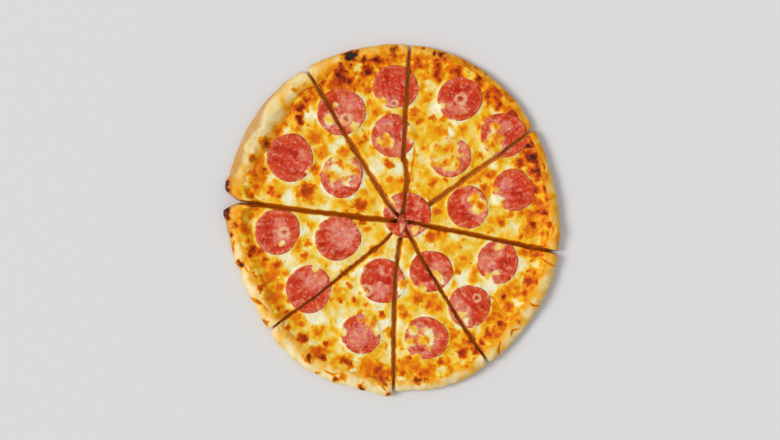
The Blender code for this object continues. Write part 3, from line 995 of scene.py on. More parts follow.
@dataclass(frozen=True)
class CheeseFinish:
    """Melted cheese: cream curds, yellow, and the oranges and browns that baking adds."""

    baked: tuple = (
        (0.00, Tone(238, 232, 196)), (0.10, Tone(236, 219, 158)), (0.22, Tone(235, 204, 104)),
        (0.31, Tone(235, 185, 34)), (0.40, Tone(232, 156, 4)), (0.50, Tone(225, 122, 0)),
        (0.61, Tone(208, 90, 0)), (0.71, Tone(178, 62, 2)), (0.82, Tone(140, 40, 4)),
        (1.00, Tone(56, 22, 12)),
    )
    meat: Tone = Tone(224, 112, 70)

    def build(self) -> bpy.types.Material:
        """Make the material.

        Returns:
            The material, ready for the meshes.
        """
        graph = Graph("melted_cheese")
        fine = graph.noise(0.0014, 3) - 0.5
        broad = graph.noise(0.006, 3) - 0.5
        bake = graph.attribute("bake") + broad * 0.16 + fine * 0.04
        veil = (graph.attribute("veil") + fine * 0.4).eased(0.1, 1.0)
        colour = graph.mix(veil * 0.7, graph.ramp(bake, self.baked), self.meat)
        return graph.shade(
            Base_Color=colour,
            Roughness=0.44 + 0.16 * bake.eased(0.3, 0.7),
            Specular_IOR_Level=0.11,
            Subsurface_Weight=0.12,
            Subsurface_Radius=(0.005, 0.003, 0.001),
            Normal=graph.bump(fine, 0.0004, 0.5),
        )


@dataclass(frozen=True)
class CrustFinish:
    """Baked dough: pale to golden, toasted low on its side, charred in spots, with painted shade on
    its cut faces.
    """

    baked: tuple = (
        (0.00, Tone(240, 224, 180)), (0.20, Tone(234, 206, 138)), (0.37, Tone(236, 182, 78)),
        (0.51, Tone(236, 156, 14)), (0.63, Tone(214, 120, 6)), (0.75, Tone(182, 88, 14)),
        (0.88, Tone(128, 50, 12)), (1.00, Tone(44, 28, 24)),
    )
    tan: Tone = Tone(186, 132, 70)
    crumb: Tone = Tone(246, 188, 84)
    # Painted shade of the cut faces: their crumb darkens toward this tone
    seared: Tone = Tone(176, 90, 6)

    def build(self) -> bpy.types.Material:
        """Make the material.

        Returns:
            The material, ready for the meshes.
        """
        graph = Graph("baked_dough")
        fine = graph.noise(0.0012, 4) - 0.5
        broad = graph.noise(0.007, 4) - 0.5
        bake = graph.attribute("bake") + broad * 0.16 + fine * 0.10
        # The cut faces' crumb, darkened by painted shade
        crumb = graph.mix(graph.attribute("sear").eased(0.0, 1.0), self.crumb, self.seared)
        tan = graph.attribute("tan") + broad * 0.5
        colour = graph.mix(tan.eased(0.15, 0.9) * 0.8, graph.ramp(bake, self.baked), self.tan)
        colour = graph.mix(graph.attribute("cut"), colour, crumb)
        return graph.shade(
            Base_Color=colour,
            Roughness=0.6,
            Specular_IOR_Level=0.1,
            Subsurface_Weight=0.05,
            Subsurface_Radius=(0.004, 0.002, 0.001),
            Normal=graph.bump(fine + broad * 0.6, 0.0006, 0.6),
        )


@dataclass(frozen=True)
class SauceFinish:
    """Tomato sauce, baked dry and dark in places."""

    red: Tone = Tone(208, 70, 4)
    orange: Tone = Tone(230, 112, 4)
    dark: Tone = Tone(130, 38, 4)

    def build(self) -> bpy.types.Material:
        """Make the material.

        Returns:
            The material, ready for the meshes.
        """
        graph = Graph("tomato_sauce")
        fine = graph.noise(0.0012, 4) - 0.5
        broad = graph.noise(0.006, 3) - 0.5
        colour = graph.mix((broad + 0.5).eased(0.4, 0.65), self.orange, self.red)
        brown = graph.attribute("brown") + fine * 0.6
        colour = graph.mix(brown.eased(0.4, 1.1), colour, self.dark)
        return graph.shade(
            Base_Color=colour,
            Roughness=0.4,
            Specular_IOR_Level=0.1,
            Normal=graph.bump(fine + broad, 0.0006, 0.5),
        )


@dataclass(frozen=True)
class PepperoniFinish:
    """Cured sausage: red with marbled fat, pink where fat and cheese film it over, with a painted
    lilac sheen in that pink.
    """

    red: Tone = Tone(206, 58, 32)
    orange: Tone = Tone(214, 84, 20)
    deep: Tone = Tone(172, 30, 12)
    pink: Tone = Tone(222, 122, 92)
    # A painted sheen: lilac that stands in for glossy highlights on the pale film
    painted_lilac_sheen: Tone = Tone(212, 108, 120)
    fat: Tone = Tone(240, 188, 146)
    seared: Tone = Tone(140, 46, 10)

    def build(self) -> bpy.types.Material:
        """Make the material.

        Returns:
            The material, ready for the meshes.
        """
        graph = Graph("pepperoni")
        fine = graph.noise(0.0011, 3) - 0.5
        middling = graph.noise(0.0035, 3) - 0.5
        broad = graph.noise(0.009, 3) - 0.5
        blotch = graph.noise(0.0052, 3) - 0.5
        colour = graph.mix((broad + middling).eased(-0.22, 0.08), self.deep, self.red)
        edge = graph.attribute("rim") + fine * 0.15
        warm = edge.eased(0.35, 1.0) * 0.5 + blotch * 2.2
        colour = graph.mix(warm.eased(0.0, 0.9) * 0.8, colour, self.orange)
        film = graph.attribute("film") + middling * 2.0 + broad * 0.9 + fine * 0.5
        # The pale film: partly its own pink, partly a painted lilac sheen
        film_and_sheen = graph.mix((blotch + middling).eased(0.02, 0.2), self.pink, self.painted_lilac_sheen)
        colour = graph.mix(film.eased(0.1, 0.95) * 0.85, colour, film_and_sheen)
        fat = graph.noise(0.0034, 3) + graph.attribute("film") * 0.06
        colour = graph.mix(fat.eased(0.5, 0.8) * 0.6, colour, self.fat)
        colour = graph.mix(edge.eased(0.88, 1.0) * 0.45, colour, self.deep)
        ring = graph.attribute("ring") + middling * 1.2
        colour = graph.mix(ring.eased(0.1, 1.1) * 0.75, colour, self.fat)
        colour = graph.mix(graph.attribute("spot").eased(0.0, 1.0) * 0.7, colour, self.seared)
        return graph.shade(
            Base_Color=colour,
            Roughness=0.38 + fine * 0.3,
            Specular_IOR_Level=0.11,
            Subsurface_Weight=0.08,
            Subsurface_Radius=(0.004, 0.001, 0.001),
            Normal=graph.bump(fine + middling, 0.0005, 0.6),
        )


@dataclass(frozen=True)
class FloorFinish:
    """A plain pale floor."""

    tone: Tone = Tone(216, 216, 217)

    def build(self) -> bpy.types.Material:
        """Make the material."""
        graph = Graph("pale_floor")
        return graph.shade(Base_Color=self.tone.rgba(), Roughness=0.7, Specular_IOR_Level=0.2)


def dress(piece: bpy.types.Object, finish: bpy.types.Material, slot: Slot, *nodes: str) -> None:
    """Give a piece its looks and its place in the part, and report it.

    Args:
        piece: the finished object.
        finish: its material.
        slot: the kind of food it is; not used.
        nodes: the solids that it stands for, if any.
    """
    piece.data.materials.append(finish)
    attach(piece, BODY)
    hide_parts(*nodes)
    faces = len(piece.data.polygons)
    log.info("%s: %d faces, in place of %s", piece.name, faces, ", ".join(nodes) or "no solid")


# Layers

WANDER_WIDE, WANDER_FINE = Grain(11, 0.016, 0.0005), Grain(23, 0.005, 0.00025)


def wander(plan: Array) -> Array:
    """Plan points moved to where the cuts run, and a little to and fro, alike in every layer."""
    return WANDER_FINE.bend(WANDER_WIDE.bend(lean(plan)))


# Where a slice's edge stands out or falls back: its number, heading, height in mm and half width
EARS = ((4, 168.5, 2.2, 3.0), (5, 177.5, 3.5, 2.5), (6, 268.0, 3.0, 4.0), (7, 276.0, -2.5, 5.0))


@dataclass(frozen=True)
class Crust:
    """The baked dough of one slice."""

    wedge: Wedge
    columns: int = 150
    rim_rows: int = 54
    row_curve: float = 0.8              # crowds the rim's rows toward its edge
    under_rows: int = 12
    stations: int = 70
    wall_rows: int = 6
    wall_curve: float = 1.6             # crowds a cut face's stations toward the rim
    steep_below: float = 0.0080
    closing: tuple = (0.35, 0.75)       # between these shares of its depth a cut closes
    # Where each of these begins and where it is full, in rim widths from the outer edge
    uneven_insets: tuple = (1.0, 0.7)
    creased_insets: tuple = (0.0, 0.15)
    ragged_insets: tuple = (0.8, 0.0)
    steep_insets: tuple = (0.3, 0.0)
    closing_insets: tuple = (0.05, 0.5)
    # Unevenness
    crease_depth: float = 0.0009
    lumps: Grain = Grain(29, 0.018, 0.0009, 3)
    wrinkles: Grain = Grain(31, 0.005, 0.00035, 3)
    blisters: tuple = (0.016, 0.003, 0.0075, 0.6)       # spacing, radii and crowd
    blister_seed: int = 23
    blister_height: float = 0.0009
    edge_circle: float = 0.15           # on which the raggedness of the edge is read
    edge_grain: Grain = Grain(131, 0.009, 1.0, 3)
    edge_stray: float = 0.0004
    bake_grains: tuple = (Grain(37, 0.012, 0.20, 2), Grain(167, 0.004, 0.05))
    bake_below: float = 0.30            # how much more it is baked at its underside
    below: float = 0.8                  # of the rim's widest level, where that starts
    tan_reach: float = 0.36
    tan_grain: Grain = Grain(179, 0.02, 0.20)
    stain_grain: Grain = Grain(47, 0.014, 0.18, 3)
    stain_bake: float = 0.58            # how brown the dough is where topping has run over it
    stain_edge: tuple = (-0.30, 0.02)   # how far inside the cheese's edge a stain begins and is full
    stain_strength: tuple = (0.4, 0.6)  # everywhere, and on top of that where it is roasted
    char_bake: tuple = (0.35, 0.45)
    char_on_tan: tuple = (0.5, 1.0)     # how dark a spot has to be to hide the tan
    crumb_cover: float = 0.92
    crumb_from: float = 0.3             # share of its depth at which a cut face is all crumb
    crumb_stretch: float = 3.0          # how much finer the crumb is upward than along
    # Unevenness of the painted shade on the cut faces
    cut_shade_grain: Grain = Grain(139, 0.012, 0.25, 2)
    crumb_grain: Grain = Grain(53, 0.003, 0.00025, 2)
    # How baked the rim is at each cut and in the middle of each slice
    baked_cuts: tuple = (0.39, 0.46, 0.43, 0.24, 0.38, 0.20, 0.14, 0.24)
    baked_middles: tuple = (0.39, 0.46, 0.42, 0.14, 0.12, 0.16, 0.20, 0.26)
    # How strongly its outermost edge is tanned
    tanned_cuts: tuple = (0.1, 0.1, 0.3, 0.5, 1.0, 0.3, 0.2, 0.1)
    tanned_middles: tuple = (0.1, 0.1, 0.5, 1.4, 0.4, 0.3, 0.2, 0.3)
    # How dark the painted shade on each cut face is, darkest on the two cuts that run along the light
    cut_shades: tuple = (0.85, 0.1, 0.2, 0.3, 0.95, 0.15, 0.35, 0.35)
    # How ragged the outer edge is
    uneven_cuts: tuple = (1.0, 0.7, 0.8, 0.7, 1.5, 2.0, 1.0, 1.0)
    uneven_middles: tuple = (0.8, 0.7, 1.0, 0.7, 3.4, 2.0, 1.3, 1.2)

    def relief(self, plan: Array, inset: Array) -> Array:
        """Lumps, blisters and wrinkles of the rim's upper side, fading out toward the middle.

        Args:
            plan: points of the plan with straight cuts.
            inset: of each point.

        Returns:
            What they add to the height.
        """
        blister, own = Noise(self.blister_seed).domes(plan, *self.blisters)
        uneven = self.lumps.at(plan) + self.wrinkles.at(plan) + self.blister_height * blister * own
        return smooth(inset, *self.uneven_insets) * uneven

    def top(self, plan: Array, inset: Array) -> Array:
        """Top of the bare dough at points of the plan with straight cuts."""
        return DOUGH.height(inset, np.angle(plan)) + self.relief(plan, inset)

    def ragged(self, plan: Array, inset: Array) -> Array:
        """The rim moved in or out, so that its edge is as uneven as baked dough.

        Args:
            plan: points of the plan with straight cuts.
            inset: of each point.

        Returns:
            Where those points come to lie.
        """
        angle = np.angle(plan)
        amount = self.edge_stray * DOUGH.around(angle, self.uneven_cuts, self.uneven_middles)
        stray = amount * self.edge_grain.at(self.edge_circle * ray(angle))
        for number, heading, height, width in EARS:
            if number == self.wedge.number + 1:
                away = np.degrees(np.angle(plan * np.conj(ray(np.radians(heading))))) / width
                stray = stray + height / 1000 * np.exp(-away * away)
        return plan + stray * smooth(inset, *self.ragged_insets) * ray(angle)

    def values(self, plan: Array, inset: Array, height: Array) -> dict:
        """What the finish reads, as if the rim's steep side were unrolled.

        Args:
            plan: points of the plan with straight cuts.
            inset, height: of each point.

        Returns:
            How baked and how tanned each point is, by name.
        """
        angle = np.angle(plan)
        unrolled = np.maximum(self.steep_below - height, 0.0) * smooth(inset, *self.steep_insets)
        plan = plan + unrolled * ray(angle)
        seat = lean(plan)
        bake = DOUGH.around(angle, self.baked_cuts, self.baked_middles)
        bake = bake + sum(grain.at(plan) for grain in self.bake_grains)
        tan = DOUGH.around(angle, self.tanned_cuts, self.tanned_middles)
        tan = tan * smooth(inset, self.tan_reach + self.tan_grain.at(plan), 0.0)
        bake = bake + self.bake_below * smooth(height, self.below * DOUGH.equator, 0.0)
        beyond = inset - cheese_edge(angle) + self.stain_grain.at(plan)
        everywhere, roasted = self.stain_strength
        stain = smooth(beyond, *self.stain_edge) * (everywhere + roasted * roast(angle))
        bake = bake + stain * (np.maximum(bake, self.stain_bake) - bake)
        dark = np.maximum(scorch(seat), crease(seat))
        bake = charred(bake, dark, *self.char_bake)
        return {"bake": bake, "tan": tan * (1 - smooth(dark, *self.char_on_tan))}

    def add_rim(self, surface: Surface) -> Array:
        """The rim's upper and outer side, down to the flat underside.

        Args:
            surface: what to add it to.

        Returns:
            Its points in plan: the first row borders the hidden top, the last the underside.
        """
        wedge = self.wedge
        heading = wedge.headings(self.columns)[None, :]
        inset = FLAT_INSET * (1 - np.linspace(0, 1, self.rim_rows) ** self.row_curve)[:, None]
        upper = wedge.apex + wedge.walk(wedge.apex, heading, inset, 0.0) * ray(heading)
        inset = np.broadcast_to(inset, upper.shape)
        height = self.top(upper, inset)
        creases = crease(lean(upper)) * self.crease_depth * smooth(inset, *self.creased_insets)
        height = height - creases
        turn = np.linspace(0, np.pi / 2, self.under_rows + 1)[1:, None]
        in_by = DOUGH.underside_inset * (1 - np.cos(turn))
        share = in_by / DOUGH.underside_inset
        tip = wedge.apex + (wedge.foot - wedge.apex) * share
        lower = tip + wedge.walk(tip, heading, 0.0, in_by) * ray(heading)
        low = height[-1:, :] * (1 - np.sin(turn))
        plan, height = np.vstack((upper, lower)), np.vstack((height, low))
        inset = np.vstack((inset, np.zeros(lower.shape)))
        values = self.values(plan, inset, height)
        plan = self.ragged(plan, inset)
        surface.patch(wander(plan), height, grid_faces(*plan.shape), **values)
        return plan

    def add_flats(self, surface: Surface, plan: Array) -> None:
        """The hidden top under the cheese, and the underside.

        Args:
            surface: what to add them to.
            plan: points of the rim, as add_rim returns them.
        """
        sheets = (
            (thinned(plan[0]), self.wedge.apex, DOUGH.base, False),
            (plan[-1], self.wedge.foot, 0.0, True),
        )
        for edge, tip, height, flip in sheets:
            flat = tip + (edge[None, :] - tip) * HIDDEN_ROWS
            values = self.values(flat, np.full(flat.shape, FLAT_INSET), np.full(flat.shape, height))
            surface.patch(wander(flat), height, grid_faces(*flat.shape, flip), **values)

    def add_walls(self, surface: Surface) -> None:
        """The two sloping cut faces.

        Args:
            surface: what to add them to.
        """
        wedge = self.wedge
        share = 1 - (1 - np.linspace(0, 1, self.stations)) ** self.wall_curve
        down = np.linspace(0, 1, self.wall_rows)[None, :]
        for heading, flip in wedge.sides:
            upper_reach = wedge.walk(wedge.apex, np.array([heading]), 0.0, 0.0)[0]
            lower_reach = wedge.walk(wedge.foot, np.array([heading]), 0.0, 0.0)[0]
            upper = wedge.apex + share * upper_reach * ray(heading)
            lower = wedge.foot + share * lower_reach * ray(heading)
            inset = wedge.inset(upper)
            top = self.top(upper, inset)
            deep = wedge.depth(lower)
            tuck = np.clip(deep / DOUGH.underside_inset, 0, 1)
            tip = wedge.apex + (wedge.foot - wedge.apex) * tuck
            lower = tip + wedge.walk(tip, heading, 0.0, deep) * ray(heading)
            bottom = top[-1] * (1 - np.sqrt(1 - (1 - tuck) ** 2))
            plan = upper[:, None] + (lower - upper)[:, None] * down
            height = top[:, None] + (bottom - top)[:, None] * down
            inset = wedge.inset(plan)
            values = self.values(plan, inset, height)
            # How dark the painted shade on this cut face is
            seared = self.cut_shades[(wedge.number + flip) % len(self.cut_shades)]
            crumbly = self.crumb_cover * smooth(down, 0.0, self.crumb_from)
            values["cut"] = np.broadcast_to(crumbly, height.shape)
            values["sear"] = seared + self.cut_shade_grain.at(plan)
            outward = 1j * ray(heading) * (1 if flip else -1)
            crumb = self.crumb_grain.at(plan.real + plan.imag + 1j * height * self.crumb_stretch)
            gap = (wedge.second if flip else wedge.first).gap
            half = gap / 2 + (DOUGH.underside_gap - gap) / 2 * down
            swell = half * smooth(down, *self.closing) * smooth(inset, *self.closing_insets)
            swell = swell + crumb * np.sin(np.pi * down) * smooth(down, 1.0, self.closing[0])
            plan = self.ragged(plan, inset) + swell * outward
            surface.patch(wander(plan), height, grid_faces(*plan.shape, flip), **values)

    def build(self) -> bpy.types.Object:
        """Make the whole crust.

        Returns:
            The object, without its finish.
        """
        surface = Surface()
        self.add_flats(surface, self.add_rim(surface))
        self.add_walls(surface)
        return surface.build(f"baked_crust_{self.wedge.number + 1}")


@dataclass(frozen=True)
class Sauce:
    """The tomato sauce of one slice, which shows outside the cheese and in the cuts."""

    wedge: Wedge
    thickness: float = 0.0007
    clearance: float = 0.00035
    columns: int = 150
    rows: int = 16
    stations: int = 50
    edge_beyond: float = 0.03           # how far it runs out past the cheese, in rim widths
    edge_grain: Grain = Grain(59, 0.013, 0.13, 3)
    most_hidden: float = -0.08          # where the cheese runs past it instead
    lift: float = 0.0003                # above the dough of the rim
    bumps: Grain = Grain(61, 0.004, 0.0002, 3)
    edge_dip: float = 0.0006
    edge_dip_from: float = 0.75         # share of the way up the rim where that starts
    strip_end: float = 0.1              # how far inside the cheese's edge the cuts' strips end
    brown: float = 0.35
    brown_grain: Grain = Grain(67, 0.007, 0.5, 3)
    brown_in_cuts: float = 0.5

    def top(self, plan: Array, inset: Array | None = None) -> Array:
        """Top of the sauce."""
        inset = self.wedge.inset(plan) if inset is None else inset
        return DOUGH.height(inset, np.angle(plan)) + self.clearance + self.thickness

    def build(self) -> bpy.types.Object:
        """Make the whole layer: its visible rim, the hidden middle and the strips in the cuts.

        Returns:
            The object, without its finish.
        """
        wedge, surface = self.wedge, Surface()
        heading = wedge.headings(self.columns)[None, :]
        beyond = self.edge_grain.at(TOPPING_CIRCLE * ray(heading)) + self.edge_beyond
        edge = cheese_edge(heading) - np.maximum(beyond, self.most_hidden)
        share = np.linspace(0, 1, self.rows)[:, None]
        inset = FLAT_INSET + (edge - FLAT_INSET) * share
        plan = wedge.apex + wedge.walk(wedge.apex, heading, inset, 0.0) * ray(heading)
        height = Crust(wedge).top(plan, inset) + self.lift + self.bumps.at(plan)
        height = height - self.edge_dip * smooth(share, self.edge_dip_from, 1.0)
        brown = np.maximum(self.brown + self.brown_grain.at(plan), scorch(lean(plan)))
        surface.patch(wander(plan), height, grid_faces(*plan.shape), brown=brown)
        flat = wedge.apex + (thinned(plan[0]) - wedge.apex) * HIDDEN_ROWS
        faces = grid_faces(*flat.shape)
        surface.patch(wander(flat), thinned(height[0]), faces, brown=self.brown_in_cuts)
        self.add_walls(surface)
        return surface.build(f"tomato_sauce_{wedge.number + 1}")

    def add_walls(self, surface: Surface) -> None:
        """The strips that show in the two cuts.

        Args:
            surface: what to add them to.
        """
        wedge = self.wedge
        share = np.linspace(0, 1, self.stations)[:, None]
        down = np.linspace(0, 1, 2)[None, :]
        for heading, flip in wedge.sides:
            edge = cheese_edge(np.array([heading])) + self.strip_end
            reach = wedge.walk(wedge.apex, np.array([heading]), edge, 0.0)[0]
            plan = wedge.apex + share * reach * ray(heading)
            height = self.top(plan) - down * (self.thickness + self.clearance)
            plan = np.broadcast_to(plan, height.shape)
            faces = grid_faces(*plan.shape, flip)
            surface.patch(wander(plan), height, faces, brown=self.brown_in_cuts)


@dataclass(frozen=True)
class Round:
    """One round of pepperoni, and where the cheese laps over it.

    laps are discs of cheese on it, films discs where it is pale with fat, and rings small
    seared blisters with a pale edge: x and y of the middle and the radius, in its own radii.
    """

    number: int
    x: float
    y: float
    diameter: float
    laps: tuple = ()
    films: tuple = ()
    rings: tuple = ()
    thickness: float = 0.0016
    cup: float = 0.0003
    sink: float = 0.0005
    rounding: float = 0.0006
    rounding_reach: float = 0.0014
    wobble: tuple = ((2, 0.025), (3, 0.015))
    lap_ragged: tuple = (Grain(71, 0.007, 0.42, 3), Grain(73, 0.0025, 0.15, 2))
    lap_rim: float = 0.93               # how readily cheese laps over its edge
    lap_rim_from: float = 0.72          # share of its radius where that starts
    blister_bend: Grain = Grain(157, 0.003, 0.0009)
    blister_edge: tuple = (0.85, 0.6)   # middle and half width of the pale edge, in blister radii
    blister_core: tuple = (0.8, 0.1)
    film_near_lap: float = 0.9
    film_from: tuple = (-0.55, 0.1)     # how close to a lap it begins and is full
    film_softness: float = 0.7

    @property
    def centre(self) -> complex:
        """Its middle."""
        return complex(self.x, self.y)

    def share(self, plan: Array) -> Array:
        """Distance from its middle, measured against its wavering edge.

        Args:
            plan: points on the pizza as it lies.

        Returns:
            0 at its middle and 1 at its edge.
        """
        offset = plan - self.centre
        angle = np.angle(offset)
        turn = self.number - 1          # as the solids turn it
        stray = sum(size * np.cos(lobes * angle + turn) for lobes, size in self.wobble)
        return np.abs(offset) / (self.diameter / 2 * (1 + stray))

    def outside(self, plan: Array) -> Array:
        """Distance outside its edge, below 0 on it."""
        return (self.share(plan) - 1) * self.diameter / 2

    def lap(self, plan: Array) -> Array:
        """Where the cheese covers it, with ragged edges.

        Args:
            plan: points on the pizza as it lies.

        Returns:
            Above 0 where it is covered, and more so farther under the cheese.
        """
        local = (plan - self.centre) / (self.diameter / 2)
        cover = self.lap_rim * smooth(self.share(plan), self.lap_rim_from, 1.0) - 1.0
        for x, y, radius in self.laps:
            cover = np.maximum(cover, 1 - np.abs(local - complex(x, y)) / radius)
        return cover + sum(grain.at(plan) for grain in self.lap_ragged)

    def blisters(self, plan: Array) -> tuple[Array, Array]:
        """Small seared blisters with a pale edge.

        Args:
            plan: points on the pizza as it lies.

        Returns:
            How much of a pale edge, and of a seared middle, lies at each point.
        """
        bent, (edge, half_width) = self.blister_bend.bend(plan), self.blister_edge
        pale, seared = np.zeros(plan.shape), np.zeros(plan.shape)
        for x, y, radius in self.rings:
            away = np.abs((bent - self.centre) / (self.diameter / 2) - complex(x, y)) / radius
            pale = np.maximum(pale, smooth(np.abs(away - edge), half_width, 0.0))
            seared = np.maximum(seared, smooth(away, *self.blister_core))
        return pale, seared

    def film(self, plan: Array) -> Array:
        """How pale the sausage is, next to the cheese on it and in its fat patches.

        Args:
            plan: points on the pizza as it lies.

        Returns:
            One share from 0 to 1 for each point.
        """
        local = (plan - self.centre) / (self.diameter / 2)
        pale = self.film_near_lap * smooth(self.lap(plan), *self.film_from)
        for x, y, radius in self.films:
            near = 1 - np.abs(local - complex(x, y)) / radius
            pale = np.maximum(pale, smooth(near, 0.0, self.film_softness))
        return pale


ROUNDS = (
    Round(1, -0.0449, 0.0946, 0.0420,
          ((-0.42, -0.3, 0.34), (0.1, -0.42, 0.16), (0.6, -0.65, 0.26), (-0.25, 0.3, 0.12)),
          ((0.3, 0.3, 0.6), (0.4, -0.3, 0.5)), ((0.2, -0.28, 0.22),)),
    Round(2, 0.0026, 0.1166, 0.0390, ((-0.65, -0.75, 0.35),),
          ((-0.1, -0.8, 0.4),), ((-0.04, -0.75, 0.17),)),
    Round(3, 0.0004, 0.0735, 0.0380,
          ((-0.6, -0.3, 0.3), (-0.15, -0.28, 0.28), (-0.3, 0.02, 0.2), (0.85, 0.1, 0.4)),
          ((-0.4, 0.45, 0.6), (0.2, -0.6, 0.5))),
    Round(4, -0.0898, 0.0541, 0.0414, ((0.9, -0.6, 0.25),), ((0.5, 0.1, 0.4),)),
    Round(5, -0.0444, 0.0383, 0.0380, ((0.0, 0.42, 0.9), (-0.4, 0.1, 0.5), (0.4, 0.2, 0.35))),
    Round(6, 0.0594, 0.1060, 0.0387, ((-0.8, -0.35, 0.2),),
          ((0.0, -0.45, 0.45), (-0.5, -0.35, 0.3)),
          ((0.04, 0.02, 0.25),)),
    Round(7, 0.0510, 0.0550, 0.0360, ((-0.32, 0.28, 1.05), (-0.1, -0.2, 0.65))),
    Round(8, 0.0977, 0.0739, 0.0400,
          ((-0.45, -0.38, 0.5), (-0.35, 0.4, 0.28), (-0.2, -0.1, 0.3)), ((0.1, 0.4, 0.4),)),
    Round(9, 0.1065, 0.0260, 0.0370, ((-0.7, -0.55, 0.4), (-0.85, 0.0, 0.16)),
          ((-0.3, 0.3, 0.5),)),
    Round(10, 0.0664, 0.0110, 0.0370, ((0.55, 0.0, 0.5), (0.35, 0.45, 0.3), (0.1, 0.35, 0.16)),
          ((-0.1, 0.4, 0.4),)),
    Round(11, 0.0928, -0.0374, 0.0370, ((0.08, 0.7, 0.25), (-0.1, -0.5, 0.2), (-0.45, -0.85, 0.32)),
          ((-0.6, 0.0, 0.7), (0.0, 0.4, 0.35))),
    Round(12, 0.0678, -0.0761, 0.0374, ((-0.45, -0.45, 0.32), (-0.2, -0.7, 0.25)),
          ((-0.6, 0.1, 0.5), (-0.3, -0.3, 0.5)), ((0.34, 0.4, 0.19),)),
    Round(13, 0.0339, -0.0453, 0.0370, ((0.25, -0.1, 0.2), (0.45, -0.4, 0.3), (-0.4, -0.85, 0.25)),
          ((0.3, 0.1, 0.7),)),
    Round(14, 0.0299, -0.1043, 0.0380,
          ((0.0, 0.0, 0.5), (-0.6, 0.35, 0.35), (-0.75, -0.2, 0.3), (-0.4, -0.9, 0.3)),
          ((-0.4, 0.0, 0.6),)),
    Round(15, -0.0084, -0.0541, 0.0396, ((-0.95, -0.5, 0.3), (0.9, -0.3, 0.35)),
          ((-0.1, -0.4, 0.6), (0.9, 0.0, 0.4), (-0.1, 0.5, 0.3)), ((-0.74, -0.4, 0.24),)),
    Round(16, -0.0277, -0.1008, 0.0350,
          ((0.45, 0.78, 0.52), (0.8, 0.3, 0.38), (-0.9, 0.1, 0.2)),
          ((-0.2, -0.2, 0.9),)),
    Round(17, -0.0735, -0.0612, 0.0410, ((0.3, 0.85, 0.22),),
          ((0.3, 0.3, 0.7), (-0.35, 0.55, 0.3), (0.1, 0.1, 0.25))),
    Round(18, -0.1012, -0.0106, 0.0400, ((0.22, -0.5, 0.16),),
          ((0.1, 0.4, 0.4), (0.2, -0.2, 0.6)), ((0.3, -0.02, 0.22),)),
    Round(19, -0.0480, -0.0163, 0.0400, ((-0.9, 0.45, 0.15),), ((0.2, 0.1, 1.0),)),
    Round(20, 0.0128, 0.0040, 0.0410, ((-0.7, 0.55, 0.32), (0.35, -0.65, 0.22)),
          ((-0.5, 0.2, 0.5), (0.4, -0.5, 0.5), (0.5, 0.4, 0.3))),
)
# Slices whose parts of the middle round hold together
MIDDLE_GROUPS = ((0, 1), (2,), (3,), (4, 5), (6,), (7,))


@dataclass
class Melt:
    """The top of the cheese at each of its points, while rounds and cuts are worked into it."""

    plan: Array        # points on the slice with straight cuts
    seat: Array        # where they come to lie
    top: Array         # height without any relief
    relief: Array      # lumps and blisters
    near_rim: Array    # how strongly the rim beside it is roasted
    height: Array
    bake: Array
    veil: Array        # how much of the sausage under it shows through


